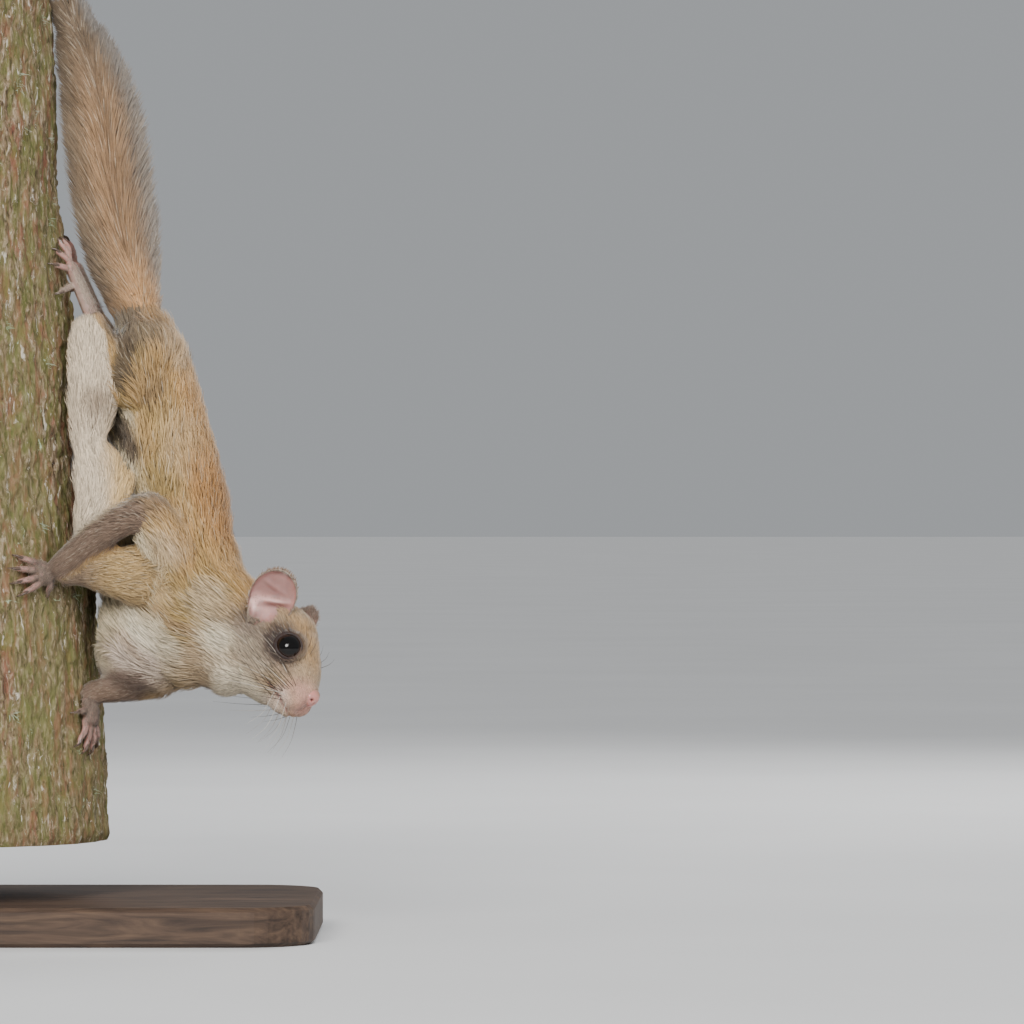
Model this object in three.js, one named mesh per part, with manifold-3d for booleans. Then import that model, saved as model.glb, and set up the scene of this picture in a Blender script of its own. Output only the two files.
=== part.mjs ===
// A northern flying squirrel, life size, clinging head down to a cut length of trunk on a display stand.
// Millimetres, +Z up. The animal's right side faces -Y, its back faces +X, and the trunk stands behind it at -X.
// The origin is the middle of the stand's underside.

import * as THREE from 'three';
import { mergeVertices } from 'three/addons/utils/BufferGeometryUtils.js';
import Module from 'manifold-3d';

const wasm = await Module();
wasm.setup();

// Driving dimensions
const GAP = 0.3; // clear space between two touching nodes

const BASE = { length: 230, width: 156, height: 15, corner: 26, bevel: 1.6 };
const ROD = { radius: 6, sunk: 9, spread: 26 };
const TRUNK = [
  { z: 37, x: -35.5, radius: 69.5 },
  { z: 134, x: -39.6, radius: 67.5 },
  { z: 234, x: -45.6, radius: 65.0 },
  { z: 284, x: -49.6, radius: 63.4 },
  { z: 373, x: -50.4, radius: 61.0 },
];
const BARK = { sides: 36, courses: 10, ridges: 13, relief: 1.5, drift: 2.4 };

const COLOURS = {
  back: 0xa98d66,
  flank: 0xb59a74,
  belly: 0xd9ccb0,
  arm: 0x8b7866,
  tail: 0xa9855c,
  skin: 0xc09a8c,
  nose: 0xc98f88,
  eye: 0x120c0a,
  bark: 0x7d7358,
  stand: 0x3a3531,
  rod: 0x8f8f8c,
};

// Stations along the spine, from rump to shoulders: at is the centre, up points to the back,
// side is the half width, top and low the half depths towards the back and the belly.
const TORSO = [
  { at: [43.4, 1, 239], up: [1, 0, -0.1], side: 10.5, top: 9.4, low: 8.5 },
  { at: [46.8, 0, 232], up: [1, 0, 0.1], side: 14.5, top: 12.4, low: 11.5 },
  { at: [50.4, -2, 219], up: [1, 0, 0.25], side: 18.0, top: 15.0, low: 15.5 },
  { at: [52.3, -4, 204], up: [1, -0.03, 0.2], side: 20.0, top: 17.8, low: 18.0 },
  { at: [54.4, -7, 185], up: [1, -0.07, 0.15], side: 20.5, top: 21.0, low: 20.5 },
  { at: [56.8, -11, 166], up: [1, -0.12, 0.15], side: 21.5, top: 23.8, low: 22.5 },
  { at: [59.8, -15.5, 147], up: [1, -0.17, 0.3], side: 22.0, top: 24.0, low: 25.0 },
  { at: [66.0, -19.5, 131], up: [0.85, -0.2, 0.55], side: 20.5, top: 24.2, low: 26.0 },
];
const BREAST = [
  { at: [54.5, -16.5, 118.5], size: [24.5, 19.5, 24.0] },
  { at: [45.0, -17.5, 110], size: [16.0, 14.5, 15.4] },
];
const NECK = [
  { at: [66.0, -20.5, 131], up: [0.8, -0.2, 0.6], side: 22.0, top: 23.2, low: 31.5 },
  { at: [75.0, -24.5, 124], up: [0.77, -0.15, 0.63], side: 19.0, top: 21.4, low: 30.5 },
  { at: [83.5, -28.0, 118.5], up: [0.76, -0.1, 0.65], side: 15.6, top: 19.0, low: 27.0 },
];

// The head has its own frame: x forward from the front of the muzzle, y to the animal's left, z to the crown.
const HEAD_PLACE = { muzzle: [112.0, -47.5, 91.0], forward: [0.563, -0.5, -0.658], crown: [0.76, 0, 0.65] };
const HEAD_ROLL = THREE.MathUtils.degToRad(-4); // crown leans away from the viewer's side
const SKULL = [
  { at: [-41, 0, 1.5], side: 13.6, top: 17.0, low: 21.5 },
  { at: [-34, 0, 1.5], side: 14.8, top: 19.2, low: 21.5 },
  { at: [-26, 0, 1.0], side: 14.8, top: 19.6, low: 19.6 },
  { at: [-18.5, 0, 0.5], side: 12.9, top: 16.6, low: 16.4 },
  { at: [-11.5, 0, 0], side: 9.8, top: 13.0, low: 13.0 },
  { at: [-6, 0, -0.5], side: 7.6, top: 9.8, low: 9.4 },
  { at: [-1.8, 0, -0.5], side: 5.2, top: 6.6, low: 6.2 },
];
const EYE = { at: [-18.6, 9.9, 7.4], radius: 5.5, lid: 1.2, lidOut: 1.7 };
const NOSE = { at: [-0.4, 0, 3.4], size: [2.1, 3.1, 2.7] };
const NOSTRIL = { at: [1.3, 1.7, 3.2], size: [1.0, 0.8, 0.6] };
const WHISKER_PAD = { at: [-4.8, 3.3, -2.6], size: [5.6, 4.4, 5.0] };
const CHIN = { at: [-8.8, 0, -8.8], size: [5.4, 4.8, 3.4] };
const MOUTH = { front: [-2, -8.0], corner: [-15.0, -6.4], line: 0.7, depth: 1.5 };
const EAR = {
  root: [-35.1, 11.2, 6.3],
  up: [-0.31, 0.3, 0.87],
  open: [0.5, 0.86, 0.05],
  height: 20,
  rootWidth: 6.0,
  width: 8.7,
  depth: 4.6,
  thick: 1.0,
};

const EAR_ROWS = 8;
const EAR_COLUMNS = 10;

// Joints of the limbs. The right limbs are the ones towards -Y.
const ARMS = {
  right: { shoulder: [62, -31, 137], elbow: [51.8, -41, 165], wrist: [17.0, -47.4, 143.4] },
  left: { shoulder: [66, -6, 122], elbow: [54.5, -8, 99], wrist: [25.6, -25.5, 94.2] },
};
const LEGS = {
  right: { hip: [50, -8, 224], knee: [43, -20.5, 207.5], ankle: [28.6, -17.5, 238.2], ball: [19.6, -13.8, 258.5] },
  left: { hip: [50, 9, 224], knee: [42, 22.5, 208], ankle: [28.0, 19.5, 239.0], ball: [19.6, 15.8, 259.5] },
};
const UPPER_ARM = [12.5, 10.6, 7.0];
const FOREARM = [6.8, 5.8, 4.0];
const FOREARM_BOW = [0, 0, 2.6];
const THIGH = [15.0, 13.5, 8.0];
const SHANK = [5.8, 5.6, 3.7];
const FOOT = { side: [3.4, 3.8, 5.0], deep: [3.0, 2.6, 2.3] };

// A hand lies on the trunk: turn and height place it, heading is the way that it points, measured from the way
// round the trunk towards -Y, up the trunk. Each finger has a spread angle and a length.
const HANDS = {
  right: { turn: 41.5, height: 141, heading: -4, fingers: [[24, 8], [8, 9.5], [-9, 9.5], [-26, 8]], thumb: -80 },
  left: { turn: 22.5, height: 86.5, heading: -84, fingers: [[24, 8], [8, 9.5], [-9, 9.5], [-26, 8]], thumb: 75 },
};
const PALM = { length: 5.2, side: 4.6, deep: 2.2, lift: 2.4 };
const DIGIT = { root: 1.25, tip: 0.95, arch: 1.3, claw: 3.4 };

// Where each toe comes down on the trunk, as a turn and a height, and how far up the ball of the foot it starts.
const TOES = {
  right: [[7, 268.5, 3.6], [12, 267.5, 1.8], [16, 264, 0], [19, 259, -2], [17, 249, -6]],
  left: [[-7, 270, 3.6], [-12, 269, 1.8], [-16, 265.5, 0], [-19, 260.5, -2], [-17, 250.5, -6]],
};

// The gliding membrane, folded along each flank: up points across the fold, from its free edge to its root,
// top is the half width across and side the half thickness.
const MEMBRANES = {
  right: [
    { at: [25.4, -20.5, 234.5], side: 3.4, top: 6.0 },
    { at: [27.0, -23.0, 226], side: 4.0, top: 8.4 },
    { at: [28.4, -25.0, 215], side: 4.4, top: 9.8 },
    { at: [29.0, -26.5, 206], side: 4.4, top: 10.4 },
    { at: [28.1, -27.5, 197], side: 4.0, top: 8.8 },
    { at: [27.3, -29.0, 189], side: 3.8, top: 7.2 },
    { at: [30.8, -31.5, 183], side: 4.0, top: 10.2 },
    { at: [32.4, -34.5, 176], side: 4.2, top: 11.4 },
    { at: [35.0, -37.0, 169], side: 4.2, top: 13.8 },
    { at: [30.6, -39.5, 161], side: 3.6, top: 10.0 },
    { at: [28.0, -41.5, 153], side: 3.2, top: 6.4 },
  ],
  left: [
    { at: [28.2, 20.5, 235], side: 3.4, top: 5.4 },
    { at: [31.2, 22.5, 219], side: 4.2, top: 8.4 },
    { at: [31.4, 21.5, 204], side: 4.4, top: 9.0 },
    { at: [31.0, 18.0, 188], side: 4.0, top: 7.4 },
    { at: [33.0, 15.0, 170], side: 4.2, top: 9.2 },
    { at: [34.6, 10.0, 152], side: 4.2, top: 9.8 },
    { at: [37.0, 4.0, 136], side: 4.0, top: 8.8 },
    { at: [39.0, -2.0, 120], side: 3.4, top: 6.4 },
  ],
};

// The fold of skin in front of each arm, from the wrist back to the side of the neck: top is its half depth.
const ARM_FOLDS = {
  right: [
    { at: [18.8, -45.4, 137.8], side: 2.4, top: 2.4 },
    { at: [25.2, -44.6, 141.0], side: 3.2, top: 6.0 },
    { at: [33.4, -42.6, 141.4], side: 4.0, top: 9.4 },
    { at: [43.0, -38.0, 140.6], side: 5.0, top: 12.0 },
    { at: [52.0, -32.0, 138.0], side: 6.0, top: 13.0 },
  ],
};

// The tail is flat and broad, with its upper face turned towards the viewer. side and top are the half sizes of
// its core, spread is the half width out to the tips of its hair.
const TAIL = [
  { at: [44.2, 1.5, 240], side: 8.5, top: 7.0, spread: 9 },
  { at: [42.4, 2, 249], side: 8.5, top: 5.8, spread: 11 },
  { at: [38.4, 3, 263], side: 8.5, top: 4.6, spread: 15.5 },
  { at: [33.8, 3.5, 286], side: 8.6, top: 4.2, spread: 18.2 },
  { at: [30.8, 3.5, 310], side: 8.2, top: 3.8, spread: 18.2 },
  { at: [27.6, 3, 328], side: 7.0, top: 3.2, spread: 16.6 },
  { at: [22.8, 2, 345], side: 3.9, top: 2.2, spread: 12.6 },
  { at: [19.4, 2, 354], side: 1.6, top: 1.2, spread: 7.6 },
];
const TAIL_UP = [0.5, -0.86, 0.05];
const TAIL_END = [15.6, 1, 366.5];

// Rows of locks down the tail: across is where they root and out where they end, as shares of the core's half
// width and of the spread, height is how far their tips stand off the flat of the tail, as a share of its core.
const LOCK_ROWS = [
  { count: 13, across: 0.55, out: 1.0, height: 0.2, from: 0.0, to: 0.97 },
  { count: 8, across: 0.25, out: 0.55, height: 1.35, from: 0.0, to: 0.95 },
  { count: 6, across: 0.25, out: 0.6, height: -1.3, from: 0.06, to: 0.92 },
];
const LOCK = { reach: 17, half: 3.9, thick: 0.75, tip: 0.5, sway: 2.0 };
const SEED = 20240611;

const vec = (p) => new THREE.Vector3(...p);
const degrees = THREE.MathUtils.degToRad;

// Closed surfaces

// A closed tube through stations, with rounded ends. grow makes it larger all round.
function loft(stations, { rings = 12, sides = 12, ends = [0.6, 0.6], dome = 3, grow = 0, up = [0, 0, 1] } = {}) {
  const path = new THREE.CatmullRomCurve3(stations.map((s) => vec(s.at)));
  const backs = new THREE.CatmullRomCurve3(stations.map((s) => vec(s.up ?? up)));
  const sizes = new THREE.CatmullRomCurve3(stations.map((s) => vec([s.side, s.top ?? s.side, s.low ?? s.top ?? s.side])));
  const points = [];
  const ring = (t, out, scale) => {
    const tangent = path.getTangent(t);
    const back = backs.getPoint(t);
    back.addScaledVector(tangent, -back.dot(tangent)).normalize();
    const across = back.clone().cross(tangent);
    const size = sizes.getPoint(t);
    const centre = path.getPoint(t).addScaledVector(tangent, out);
    for (let j = 0; j < sides; j++) {
      const angle = (2 * Math.PI * j) / sides;
      const depth = Math.sin(angle) > 0 ? size.y : size.z;
      points.push(
        centre
          .clone()
          .addScaledVector(across, (size.x + grow) * scale * Math.cos(angle))
          .addScaledVector(back, (depth + grow) * scale * Math.sin(angle)),
      );
    }
  };
  const reach = (t, end) => Math.min(sizes.getPoint(t).x, sizes.getPoint(t).y) * end + grow;
  const pole = (t, out) => points.push(path.getPoint(t).addScaledVector(path.getTangent(t), out));
  const quarter = (k) => (k / dome) * (Math.PI / 2);

  pole(0, -reach(0, ends[0]));
  for (let k = dome - 1; k > 0; k--) ring(0, -reach(0, ends[0]) * Math.sin(quarter(k)), Math.cos(quarter(k)));
  for (let i = 0; i < rings; i++) ring(i / (rings - 1), 0, 1);
  for (let k = 1; k < dome; k++) ring(1, reach(1, ends[1]) * Math.sin(quarter(k)), Math.cos(quarter(k)));
  pole(1, reach(1, ends[1]));

  const total = rings + 2 * (dome - 1);
  const index = [];
  const at = (i, j) => 1 + i * sides + (j % sides);
  for (let j = 0; j < sides; j++) {
    index.push(0, at(0, j + 1), at(0, j));
    for (let i = 0; i < total - 1; i++) {
      index.push(at(i, j), at(i, j + 1), at(i + 1, j));
      index.push(at(i, j + 1), at(i + 1, j + 1), at(i + 1, j));
    }
    index.push(points.length - 1, at(total - 1, j), at(total - 1, j + 1));
  }
  return new THREE.BufferGeometry().setFromPoints(points).setIndex(index);
}

// An ellipsoid of three half sizes.
function egg(at, size, { across = 12, down = 8, grow = 0 } = {}) {
  const geometry = new THREE.SphereGeometry(1, across, down);
  geometry.scale(size[0] + grow, size[1] + grow, size[2] + grow);
  return geometry.translate(...at);
}

// Solids

function solid(geometry) {
  const bare = geometry.clone();
  bare.deleteAttribute('normal');
  bare.deleteAttribute('uv');
  const merged = mergeVertices(bare, 1e-4);
  return new wasm.Manifold(
    new wasm.Mesh({
      numProp: 3,
      vertProperties: new Float32Array(merged.attributes.position.array),
      triVerts: new Uint32Array(merged.index.array),
    }),
  );
}

const join = (solids) => solids.reduce((whole, piece) => whole.add(piece));

// What is left of a solid once its neighbours are taken away: its largest closed body.
function fitted(body, neighbours) {
  const left = neighbours.reduce((rest, other) => rest.subtract(other), body);
  return left.decompose().sort((a, b) => b.volume() - a.volume())[0];
}

// Trunk and stand

// The trunk's value of a kind at a height, between the two levels above and below.
function trunkAt(kind, z) {
  const i = Math.max(1, TRUNK.findIndex((level) => level.z >= z));
  const [low, high] = [TRUNK[i - 1], TRUNK[i]];
  return THREE.MathUtils.mapLinear(z, low.z, high.z, low[kind], high[kind]);
}
const trunkX = (z) => trunkAt('x', z);
const trunkRadius = (z) => trunkAt('radius', z);
const TRUNK_FOOT = TRUNK[0].z;
const TRUNK_TOP = TRUNK[TRUNK.length - 1].z;

// A point on the trunk's mean surface: turn in degrees from +X towards -Y, lift is its height above the bark.
function onTrunk(turn, z, lift) {
  const radius = trunkRadius(z) + lift;
  return [trunkX(z) + radius * Math.cos(degrees(turn)), -radius * Math.sin(degrees(turn)), z];
}

// Long ridges of bark that wander round the trunk as they climb, under the mean radius.
function barkDepth(angle, z) {
  const wander = 0.16 * Math.sin(z / 47) + 0.1 * Math.sin(z / 19 + 2);
  const ridge = Math.sin(BARK.ridges * (angle + wander));
  const plate = Math.sin(z / 13 + 3 * Math.sin(2 * angle) + angle * BARK.drift);
  return BARK.relief * (0.55 * Math.abs(ridge) + 0.3 * plate - 0.35);
}

function trunk(grow) {
  const height = TRUNK_TOP - TRUNK_FOOT;
  const geometry = new THREE.CylinderGeometry(1, 1, height, BARK.sides, BARK.courses);
  geometry.rotateX(Math.PI / 2);
  const place = geometry.attributes.position;
  for (let i = 0; i < place.count; i++) {
    const z = place.getZ(i) + TRUNK_FOOT + height / 2;
    const angle = Math.atan2(place.getY(i), place.getX(i));
    const share = Math.hypot(place.getX(i), place.getY(i));
    const radius = share * (trunkRadius(z) + barkDepth(angle, z) * share + grow);
    place.setXYZ(i, trunkX(z) + radius * Math.cos(angle), radius * Math.sin(angle), z);
  }
  return solid(geometry);
}

function rod(y, grow) {
  const from = BASE.height - ROD.sunk - grow;
  const to = TRUNK_FOOT + ROD.sunk + grow;
  const geometry = new THREE.CylinderGeometry(ROD.radius + grow, ROD.radius + grow, to - from, 20);
  geometry.rotateX(Math.PI / 2).translate(TRUNK[0].x, y, (from + to) / 2);
  return solid(geometry);
}

function base() {
  const { length, width, height, corner, bevel } = BASE;
  const x = length / 2 - bevel;
  const y = width / 2 - bevel;
  const outline = new THREE.Shape();
  outline.moveTo(-x + corner, -y).lineTo(x - corner, -y);
  outline.absarc(x - corner, -y + corner, corner, -Math.PI / 2, 0);
  outline.absarc(x - corner, y - corner, corner, 0, Math.PI / 2);
  outline.absarc(-x + corner, y - corner, corner, Math.PI / 2, Math.PI);
  outline.absarc(-x + corner, -y + corner, corner, Math.PI, 1.5 * Math.PI);
  const options = { depth: height - 2 * bevel, bevelThickness: bevel, bevelSize: bevel, bevelSegments: 1, curveSegments: 4 };
  return solid(new THREE.ExtrudeGeometry(outline, options).translate(0, 0, bevel));
}

// Head

const headFrame = (() => {
  const forward = vec(HEAD_PLACE.forward).normalize();
  const crown = vec(HEAD_PLACE.crown);
  crown.addScaledVector(forward, -crown.dot(forward)).normalize();
  crown.applyAxisAngle(forward, HEAD_ROLL);
  const left = crown.clone().cross(forward);
  return new THREE.Matrix4().makeBasis(forward, left, crown).setPosition(...HEAD_PLACE.muzzle);
})();
const inHead = (geometry) => solid(geometry.applyMatrix4(headFrame));
const mirrored = (at, side) => [at[0], at[1] * side, at[2]];
const SIDES = { right: -1, left: 1 };

function skull(grow) {
  return inHead(loft(SKULL, { rings: 12, sides: 16, ends: [0.4, 0.45], grow }));
}

// The slit between the lips, as deep as MOUTH.depth all along.
function mouth(inside) {
  const [fx, fz] = MOUTH.front;
  const [cx, cz] = MOUTH.corner;
  const run = Math.hypot(fx - cx, fz - cz) + 6;
  const slit = new THREE.BoxGeometry(run, 40, MOUTH.line);
  slit.translate(run / 2, 0, 0).rotateY(-Math.atan2(fz - cz, fx - cx)).translate(cx, 0, cz);
  return inHead(slit).subtract(inside);
}

function philtrum(inside) {
  const slit = new THREE.BoxGeometry(8, 0.6, 9).translate(0, 0, -4.4);
  return inHead(slit).subtract(inside);
}

function flesh(grow) {
  const pieces = [skull(grow)];
  for (const side of Object.values(SIDES)) {
    pieces.push(inHead(egg(mirrored(WHISKER_PAD.at, side), WHISKER_PAD.size, { grow })));
  }
  pieces.push(inHead(egg(CHIN.at, CHIN.size, { grow })));
  return join(pieces);
}

function eye(side, grow) {
  return inHead(egg(mirrored(EYE.at, side), [EYE.radius, EYE.radius, EYE.radius], { across: 14, down: 8, grow }));
}

// The rim of the lids: a ring round the eye, facing out and a little forward and up.
function lids(side) {
  const ring = new THREE.TorusGeometry(EYE.radius, EYE.lid, 5, 14);
  const out = new THREE.Vector3(0.3, 0.92 * side, 0.25).normalize();
  const turn = new THREE.Quaternion().setFromUnitVectors(new THREE.Vector3(0, 0, 1), out);
  ring.applyQuaternion(turn).translate(...vec(mirrored(EYE.at, side)).addScaledVector(out, EYE.lidOut).toArray());
  return inHead(ring);
}

function head() {
  const inside = flesh(-MOUTH.depth);
  let body = flesh(0).add(lids(SIDES.right)).add(lids(SIDES.left));
  body = body.subtract(mouth(inside)).subtract(philtrum(inside));
  return body.subtract(eye(SIDES.right, GAP)).subtract(eye(SIDES.left, GAP));
}

function nose(grow) {
  return inHead(egg(NOSE.at, NOSE.size, { across: 10, down: 7, grow }));
}

function nostril(side) {
  return inHead(egg(mirrored(NOSTRIL.at, side), NOSTRIL.size, { across: 6, down: 4 }));
}

// A cupped sheet of skin, open to the front and the side, broadest above its middle and round at the top.
function earSheet(side, deeper) {
  const up = vec(mirrored(EAR.up, side)).normalize();
  const open = vec(mirrored(EAR.open, side));
  open.addScaledVector(up, -open.dot(up)).normalize();
  const across = up.clone().cross(open);
  const points = [];
  for (let i = 0; i <= EAR_ROWS; i++) {
    const rise = i / EAR_ROWS;
    const over = Math.max(0, rise - 0.5) / 0.52;
    const half = rise < 0.5
      ? THREE.MathUtils.lerp(EAR.rootWidth, EAR.width, Math.sin(Math.PI * rise))
      : EAR.width * Math.sqrt(1 - over * over);
    const bowl = EAR.depth * (1.2 - 0.75 * rise);
    for (let j = 0; j <= EAR_COLUMNS; j++) {
      const v = (2 * j) / EAR_COLUMNS - 1;
      points.push(
        vec(mirrored(EAR.root, side))
          .addScaledVector(up, EAR.height * rise)
          .addScaledVector(across, (half - deeper * 0.15) * Math.sin((Math.PI / 2) * v))
          .addScaledVector(open, 1.2 - bowl * (1 - v * v) - deeper),
      );
    }
  }
  return points;
}

function ear(side) {
  const points = [...earSheet(side, 0), ...earSheet(side, EAR.thick)];
  const index = [];
  const at = (layer, i, j) => (layer * (EAR_ROWS + 1) + i) * (EAR_COLUMNS + 1) + j;
  const quad = (a, b, c, d) => index.push(a, b, c, a, c, d);
  for (let i = 0; i < EAR_ROWS; i++) {
    for (let j = 0; j < EAR_COLUMNS; j++) {
      quad(at(0, i, j), at(0, i, j + 1), at(0, i + 1, j + 1), at(0, i + 1, j));
      quad(at(1, i, j), at(1, i + 1, j), at(1, i + 1, j + 1), at(1, i, j + 1));
    }
    quad(at(0, i, 0), at(0, i + 1, 0), at(1, i + 1, 0), at(1, i, 0));
    quad(at(0, i + 1, EAR_COLUMNS), at(0, i, EAR_COLUMNS), at(1, i, EAR_COLUMNS), at(1, i + 1, EAR_COLUMNS));
  }
  for (let j = 0; j < EAR_COLUMNS; j++) {
    quad(at(0, 0, j + 1), at(0, 0, j), at(1, 0, j), at(1, 0, j + 1));
    quad(at(0, EAR_ROWS, j), at(0, EAR_ROWS, j + 1), at(1, EAR_ROWS, j + 1), at(1, EAR_ROWS, j));
  }
  return inHead(new THREE.BufferGeometry().setFromPoints(points).setIndex(index));
}

// Limbs

// A limb segment from one joint to the next, with its radii at the root, the middle and the end.
function segment(from, to, radii, grow, { bulge = [0, 0, 0], up = [0, -1, 0.1], flat = 1 } = {}) {
  const middle = vec(from).lerp(vec(to), 0.5).add(vec(bulge)).toArray();
  const stations = [from, middle, to].map((at, i) => ({ at, side: radii[i], top: radii[i] * flat }));
  return solid(loft(stations, { rings: 6, sides: 11, ends: [0.7, 0.8], dome: 2, grow, up }));
}

// A place near a hand or foot: along is the way that the digits point, out is across them.
function onHand(hand, along, out, lift) {
  const heading = degrees(hand.heading);
  const round = along * Math.cos(heading) - out * Math.sin(heading);
  const rise = along * Math.sin(heading) + out * Math.cos(heading);
  const turn = hand.turn + THREE.MathUtils.radToDeg(round / trunkRadius(hand.height));
  return onTrunk(turn, hand.height + rise, lift);
}

// A finger or toe from its root, over an arch, down to the bark, where a claw hooks in.
function digit(root, tip, clawTip, out, grow) {
  const arch = root.clone().lerp(tip, 0.5).addScaledVector(out, DIGIT.arch);
  const bones = [
    { at: root.toArray(), side: DIGIT.root },
    { at: arch.toArray(), side: DIGIT.root },
    { at: tip.toArray(), side: DIGIT.tip },
  ];
  const clawRoot = tip.clone().addScaledVector(out, 0.2);
  const clawMiddle = clawRoot.clone().lerp(clawTip, 0.5).addScaledVector(out, 0.9);
  const claw = [
    { at: clawRoot.toArray(), side: 0.62 },
    { at: clawMiddle.toArray(), side: 0.5 },
    { at: clawTip.toArray(), side: 0.26 },
  ];
  const options = { grow, up: out.toArray() };
  return solid(loft(bones, { ...options, rings: 4, sides: 5, ends: [0.8, 1], dome: 2 })).add(
    solid(loft(claw, { ...options, rings: 3, sides: 4, ends: [0.6, 1.2], dome: 1 })),
  );
}

function finger(place, from, spread, length, grow) {
  const away = degrees(spread);
  const point = (reach, lift) => {
    return vec(onHand(place, from[0] + reach * Math.cos(away), from[1] + reach * Math.sin(away), lift));
  };
  const out = point(0, 10).sub(point(0, 0)).normalize();
  return digit(point(0, PALM.lift - 0.5), point(length, 1.5), point(length + DIGIT.claw, -0.4), out, grow);
}

function fingers(place, grow) {
  const pieces = place.fingers.map(([spread, length], i) => {
    const across = Math.sign(place.fingers[0][0]) * (1.5 - i) * 2.1;
    return finger(place, [3.0, across], spread, length, grow);
  });
  return [...pieces, finger(place, [-1.5, Math.sign(place.thumb) * 3.2], place.thumb, 3.8, grow)];
}

function hand(side, grow) {
  const place = HANDS[side];
  const palm = [
    { at: ARMS[side].wrist, side: 3.0, top: 2.6 },
    { at: onHand(place, -1.5, 0, PALM.lift + 0.4), side: PALM.side * 0.85, top: PALM.deep + 0.4 },
    { at: onHand(place, PALM.length - 2, 0, PALM.lift), side: PALM.side, top: PALM.deep },
  ];
  const out = vec(onHand(place, 0, 0, 10)).sub(vec(onHand(place, 0, 0, 0))).toArray();
  const back = loft(palm, { rings: 5, sides: 8, ends: [0.5, 0.5], dome: 2, grow, up: out });
  return join([solid(back), ...fingers(place, grow)]);
}

function toe(side, [turn, height, start], grow) {
  const { ankle, ball } = LEGS[side];
  const along = vec(ball).sub(vec(ankle)).normalize();
  const root = vec(ball).addScaledVector(along, start);
  const out = vec(onTrunk(turn, height, 10)).sub(vec(onTrunk(turn, height, 0))).normalize();
  const tip = vec(onTrunk(turn, height, 1.5));
  const reach = tip.clone().sub(root).normalize();
  const clawTip = vec(onTrunk(turn, height, -0.4)).addScaledVector(reach, DIGIT.claw * 0.8);
  return digit(root, tip, clawTip, out, grow);
}

function foot(side, grow) {
  const { ankle, ball } = LEGS[side];
  const middle = vec(ankle).lerp(vec(ball), 0.5).toArray();
  const sole = [ankle, middle, ball].map((at, i) => ({ at, side: FOOT.side[i], top: FOOT.deep[i] }));
  const body = solid(loft(sole, { rings: 5, sides: 8, ends: [0.9, 0.8], dome: 2, grow, up: [1, 0, 0.2] }));
  return join([body, ...TOES[side].map((place) => toe(side, place, grow))]);
}

function armFold(side, grow) {
  return solid(loft(ARM_FOLDS[side], { rings: 8, sides: 9, ends: [1, 0.5], dome: 2, grow, up: [0.1, 0, 1] }));
}

function membrane(side, grow) {
  const up = side === 'right' ? [1, 0.1, 0] : [1, -0.1, 0];
  return solid(loft(MEMBRANES[side], { rings: 14, sides: 8, ends: [1, 1], dome: 2, grow, up }));
}

// Body

const trunkOfBody = (grow) => solid(loft(TORSO, { rings: 15, sides: 16, ends: [0.7, 0.5], grow }));
const breast = (grow) => join(BREAST.map(({ at, size }) => solid(egg(at, size, { across: 15, down: 9, grow }))));
const torso = (grow) => trunkOfBody(grow).add(breast(grow));
const neck = (grow) => solid(loft(NECK, { rings: 6, sides: 16, ends: [0.3, 0.5], grow }));


// Tail

// A steady stream of numbers from 0 to 1, the same every time.
function randomFrom(seed) {
  let state = seed;
  return () => {
    state = (state * 1664525 + 1013904223) % 4294967296;
    return state / 4294967296;
  };
}

const tailPath = new THREE.CatmullRomCurve3(TAIL.map((s) => vec(s.at)));
const tailSpread = new THREE.CatmullRomCurve3(TAIL.map((s) => vec([s.side, s.top, s.spread])));

// A point by the tail: t runs from its root to its end, across to its left edge, off away from its flat.
function byTail(t, across, off) {
  const tangent = tailPath.getTangent(Math.min(t, 1));
  const up = vec(TAIL_UP);
  up.addScaledVector(tangent, -up.dot(tangent)).normalize();
  const side = up.clone().cross(tangent);
  const beyond = Math.max(0, t - 1);
  const centre = tailPath.getPoint(Math.min(t, 1)).lerp(vec(TAIL_END), Math.min(1, beyond * 9));
  return centre.addScaledVector(side, across).addScaledVector(up, off);
}

// A flat tapered lock that leaves the core towards the tail's end and bends over outwards.
function lock(row, t, sign, random, grow) {
  const step = LOCK.reach / tailPath.getLength();
  const core = tailSpread.getPoint(t);
  const end = tailSpread.getPoint(Math.min(1, t + step));
  const thin = Math.min(1, end.z / 13);
  const sway = (random() - 0.5) * LOCK.sway;
  const rootAt = byTail(t, sign * row.across * core.x, row.height * core.y * 0.45);
  const tipAt = byTail(t + step * (0.9 + 0.2 * random()), sign * row.out * end.z + sway, row.height * end.y);
  const across = sign * (row.out * end.z * 0.62 + row.across * core.x * 0.3);
  const bend = byTail(t + step * 0.45, across, row.height * core.y * 0.95);
  const stations = [
    { at: rootAt.toArray(), side: LOCK.half * 0.8 * thin, top: LOCK.thick },
    { at: bend.toArray(), side: LOCK.half * thin, top: LOCK.thick },
    { at: tipAt.toArray(), side: LOCK.tip, top: LOCK.tip * 0.7 },
  ];
  const up = vec(TAIL_UP).addScaledVector(tipAt.clone().sub(rootAt).normalize(), 0.01).toArray();
  return solid(loft(stations, { rings: 4, sides: 4, ends: [0.2, 1.6], dome: 1, grow, up }));
}

function tail(grow) {
  const random = randomFrom(SEED);
  const pieces = [solid(loft(TAIL, { rings: 11, sides: 10, ends: [0.5, 1], grow, up: TAIL_UP }))];
  for (const row of LOCK_ROWS) {
    for (let i = 0; i < row.count; i++) {
      for (const sign of [-1, 1]) {
        const share = (i + (sign > 0 ? 0.5 : 0)) / row.count;
        pieces.push(lock(row, THREE.MathUtils.lerp(row.from, row.to, share), sign, random, grow));
      }
    }
  }
  return join(pieces);
}

// Nodes, each cut clear of those before it that it touches

const group = new THREE.Group();

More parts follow.
